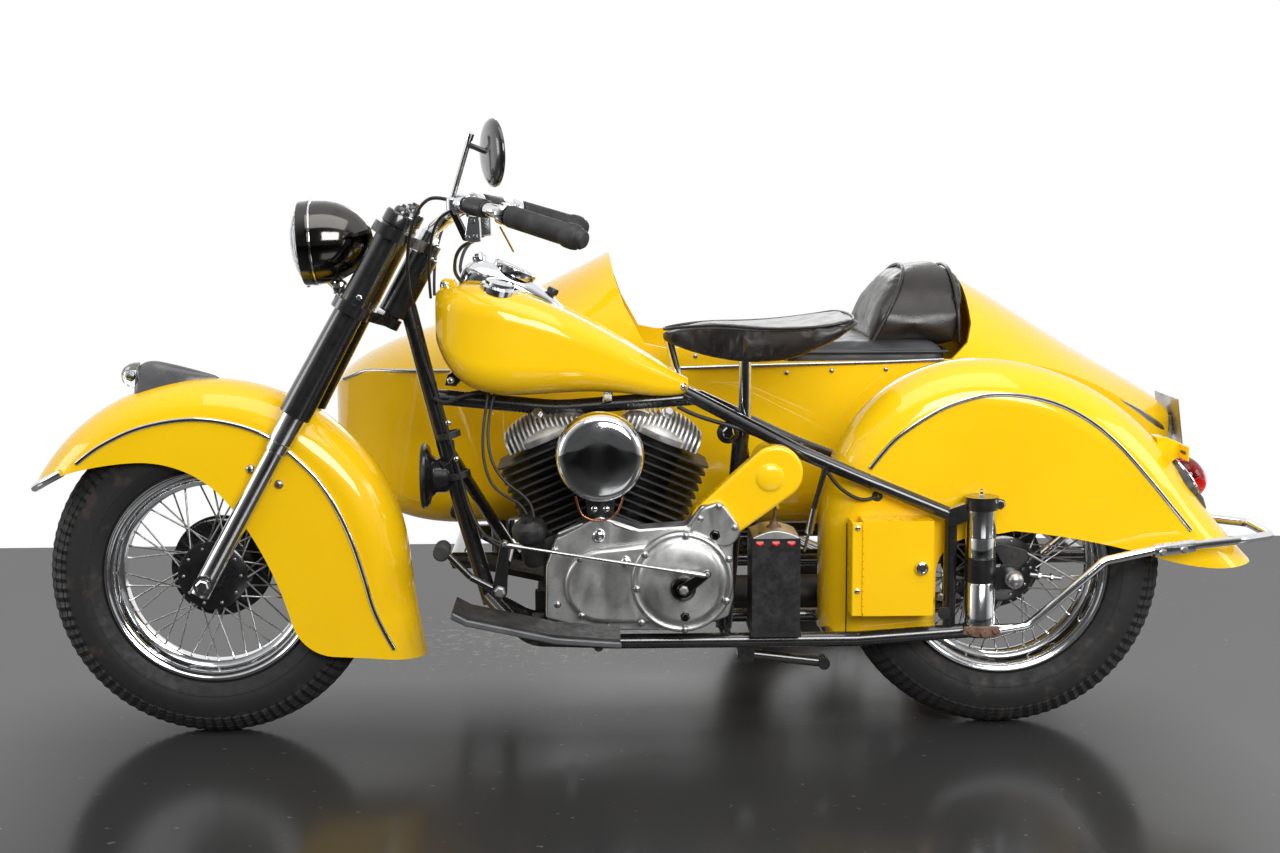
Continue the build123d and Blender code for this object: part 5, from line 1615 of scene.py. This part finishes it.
# Battery, horn and small chassis parts. The battery has a pale dished lid over three red caps, held by one
# rod; the horn is a black pressed dish; the foot boards have ribbed rubber and a thick moulded edge.
lid = [(1088 + 92 * step / 12, 420 + 13 * sin(pi * step / 12)) for step in range(13)]
plate("battery_lid", lid + [(1180, 417), (1088, 417)], -148, -36, cast_aluminium, bevel=1.5)
for number, back in enumerate((1101, 1133, 1164)):
    lathe(
        f"battery_cap_{number}", [(0, -10), (9, -10), (9, 3), (7, 5), (0, 5)], at(back, -146, 410),
        (0, -0.8, 0.6), 20, red_glass,
    )
lathe(
    "battery_terminal", [(0, -14), (17, -12), (15, -2), (9, 2), (8, 8), (0, 9)], at(1134, -96, 436),
    (0, 0, 1), 24, rust,
)
rods("battery_rod", [(at(1134, -96, 438), at(1138, -96, 500))], 3.4, turned_steel)
copies("battery_rod_nut", hex_head, [(at(1136, -96, 470), (0, 0, 1), 8)], chrome)
dish = [
    (0, -46), (26, -44), (34, -34), (36, -14), (44, -4), (60, 0), (66, 6), (66, 12), (62, 13), (48, 9),
    (30, 14), (12, 20), (0, 21),
]
horn_middle = at(440, 0, 527)
horn_dish = lathe("horn_dish", dish, horn_middle, (-1, 0, 0), 56, black_enamel)
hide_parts("horn")
lathe(
    "horn_ring", [(61, 11), (66, 10), (67.5, 13), (66, 16), (61, 15)], horn_middle, (-1, 0, 0), 56, ebonite,
    ring=True,
)
plate("horn_bracket", [(474, 534), (474, 520), (496, 520), (492, 534)], -12, 12, black_enamel, bevel=2)
board = [(503, 313), (531, 298), (699, 261), (824, 251), (824, 239), (698, 248), (527, 285), (498, 300)]
for hand, where in hands:
    plate(f"board_edge_{where}", board, hand * 301, hand * 309, smoked, bevel=4)
    ribs = []
    for rib in range(20):
        back = 540 + 14 * rib
        up = 296.5 - 0.2235 * (back - 533) if back < 700 else 259.5 - 0.082 * (back - 700)
        ribs.append((at(back, hand * 198, up + 2), at(back, hand * 300, up + 2)))
    rods(f"board_ribs_{where}", ribs, 3.2, rubber, sides=8)
tube(
    "strut_upper", [at(1236, -104, 556), at(1226, -106, 512), at(1212, -106, 468)], 6, black_enamel, sides=12,
)
rods("strut_sleeve", [(at(1213, -106, 470), at(1203, -106, 420))], 8, chrome, sides=20)
rods("strut_end", [(at(1203, -106, 420), at(1194, -106, 384))], 3, turned_steel, sides=8)

# Sidecar trim. An aluminium strip covers the joint of tub and deck on each side and ends in a long teardrop
# flash at the tail; small studs for a cover line the cockpit, and the seat back has leather piping round
# its edges.
sidecar_middle = 590
side_skins = [skin_of("sidecar_tub"), skin_of("sidecar_deck")]


def sidecar_side(back, up, hand):
    """Where the sidecar's outside is met from its left or right, and the way it faces."""
    best = None
    start = at(back, sidecar_middle + hand * 480, up)
    for skin in side_skins:
        place, facing, face, distance = skin.ray_cast(start, Vector((0, -hand, 0)))
        if place is not None and (best is None or distance < best[2]):
            best = (place, facing if facing.y * hand > 0 else -facing, distance)
    if best is None:
        raise ValueError(f"no side at {back}, {up}")
    return best[:2]


aluminium_trim = bright("aluminium_trim", (0.62, 0.62, 0.61), 0.22, 0.42, 24)
strip_line = [
    (208, 676), (240, 690), (264, 699), (340, 702), (406, 703), (560, 706), (720, 708), (860, 710),
    (988, 712), (1110, 715), (1230, 718), (1350, 720), (1462, 722), (1550, 724),
]
for hand, where in hands:
    met = [sidecar_side(back, up, hand) for back, up in strip_line]
    tube(f"trim_strip_{where}", [place + facing * 0.001 for place, facing in met], 4.6, aluminium_trim)
    tube(
        f"trim_groove_{where}", [place + facing * 0.0048 for place, facing in met], 1.3, black_enamel,
        sides=6,
    )
    flash_points = 9
    flash_line = (
        (1962, 630, 0.4), (1985, 616, 2.5), (2010, 601, 5), (2036, 586, 7), (2062, 568, 8.5), (2088, 551, 9),
        (2106, 540, 7), (2116, 534, 2),
    )
    rows = []
    for back, up, half in flash_line:
        place, facing = sidecar_side(back, up, hand)
        across = Vector((0.51, 0, 0.86))
        for turn in range(flash_points):
            swing = pi * turn / (flash_points - 1)
            rows.append(place + (across * half * cos(swing) + facing * (0.4 * half * sin(swing) - 1)) / 1000)
    flash = new_mesh("flash", rows, net(len(flash_line), flash_points), outward=False)
    piece(f"tail_flash_{where}", flash, aluminium_trim, sharp=80)
    studs = []
    for back, up in ((1000, 738), (1080, 738), (1201, 700), (1300, 704), (1420, 706), (1540, 708)):
        place, facing = sidecar_side(back, up, hand)
        studs.append((place, facing, 5.5))
    copies(f"cover_studs_{where}", round_head, studs, turned_steel)

# Cockpit fittings and number plate. Leather piping edges the seat back, a welt runs round the cushion, and
# a ribbed mat lies on the floor; the plate is blank and hangs on two straps behind the tail, bolted at its
# corners.
arch = [(190, 757), (190, 800), (182, 842), (150, 884), (96, 914), (34, 926)]
for number, (shift, lean_by) in enumerate(((1404, 0.52), (1600, -0.05))):
    line = []
    for right, up in arch:
        line.append(at(shift + lean_by * (up - 757), sidecar_middle + right, min(up, 924)))
    line += [
        Vector((point.x, 2 * at(0, sidecar_middle, 0).y - point.y, point.z)) for point in reversed(line)
    ]
    tube(f"backrest_piping_{number}", line, 4.2, leather, sides=8)
welt = [
    (1206, -238), (1206, 238), (1212, 244), (1384, 246), (1562, 244), (1566, 236), (1566, -236),
    (1560, -244), (1384, -246), (1212, -244),
]
tube(
    "cushion_welt", [at(back, sidecar_middle + right, 741) for back, right in welt], 3.6, vinyl, sides=8,
    ring=True,
)
floor_z = 369
mat_ribs = [
    (at(back, sidecar_middle - 150, floor_z), at(back, sidecar_middle + 150, floor_z))
    for back in range(660, 1190, 22)
]
rods("floor_mat_ribs", mat_ribs, 3.0, rubber, sides=8)
plate(
    "floor_mat", [(650, floor_z - 3), (650, floor_z), (1192, floor_z), (1192, floor_z - 3)],
    sidecar_middle - 165, sidecar_middle + 165, rubber, bevel=1,
)
plate_frame = [(2130, 612), (2132.6, 612), (2146.6, 506), (2144, 506)]
plate("number_plate", plate_frame, sidecar_middle - 90, sidecar_middle + 90, turned_steel, bevel=1)
for right in (-24, 24):
    plate(
        f"plate_strap_{right}",
        [(2112, 566), (2134, 566), (2140, 520), (2137, 520), (2131, 560), (2112, 560)],
        sidecar_middle + right - 9, sidecar_middle + right + 9, turned_steel, bevel=1,
    )
plate_bolts = [
    (at(2133 + (612 - up) * 0.132, sidecar_middle + right, up), (1, 0, 0.13), 5)
    for right in (-70, 70)
    for up in (600, 520)
]
copies("number_plate_bolts", round_head, plate_bolts, turned_steel)
plate_tab = plate(
    "plate_block", [(1924, 598), (1946, 596), (1975, 584), (1975, 556), (1952, 540), (1936, 552)], -20, 20,
    yellow_enamel, bevel=2,
)
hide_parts("plate_bracket")
plate("plate_tab", [(1972, 584), (1975, 584), (1975, 554), (1972, 554)], -78, 78, yellow_enamel, bevel=1)
# Painted shade: two black rods on the tab stand for the shade in its slots.
rods(
    "plate_slots", [(at(1973.5, right - 14, 569), at(1973.5, right + 14, 569)) for right in (-50, 50)], 3.9,
    black_iron, sides=12,
)
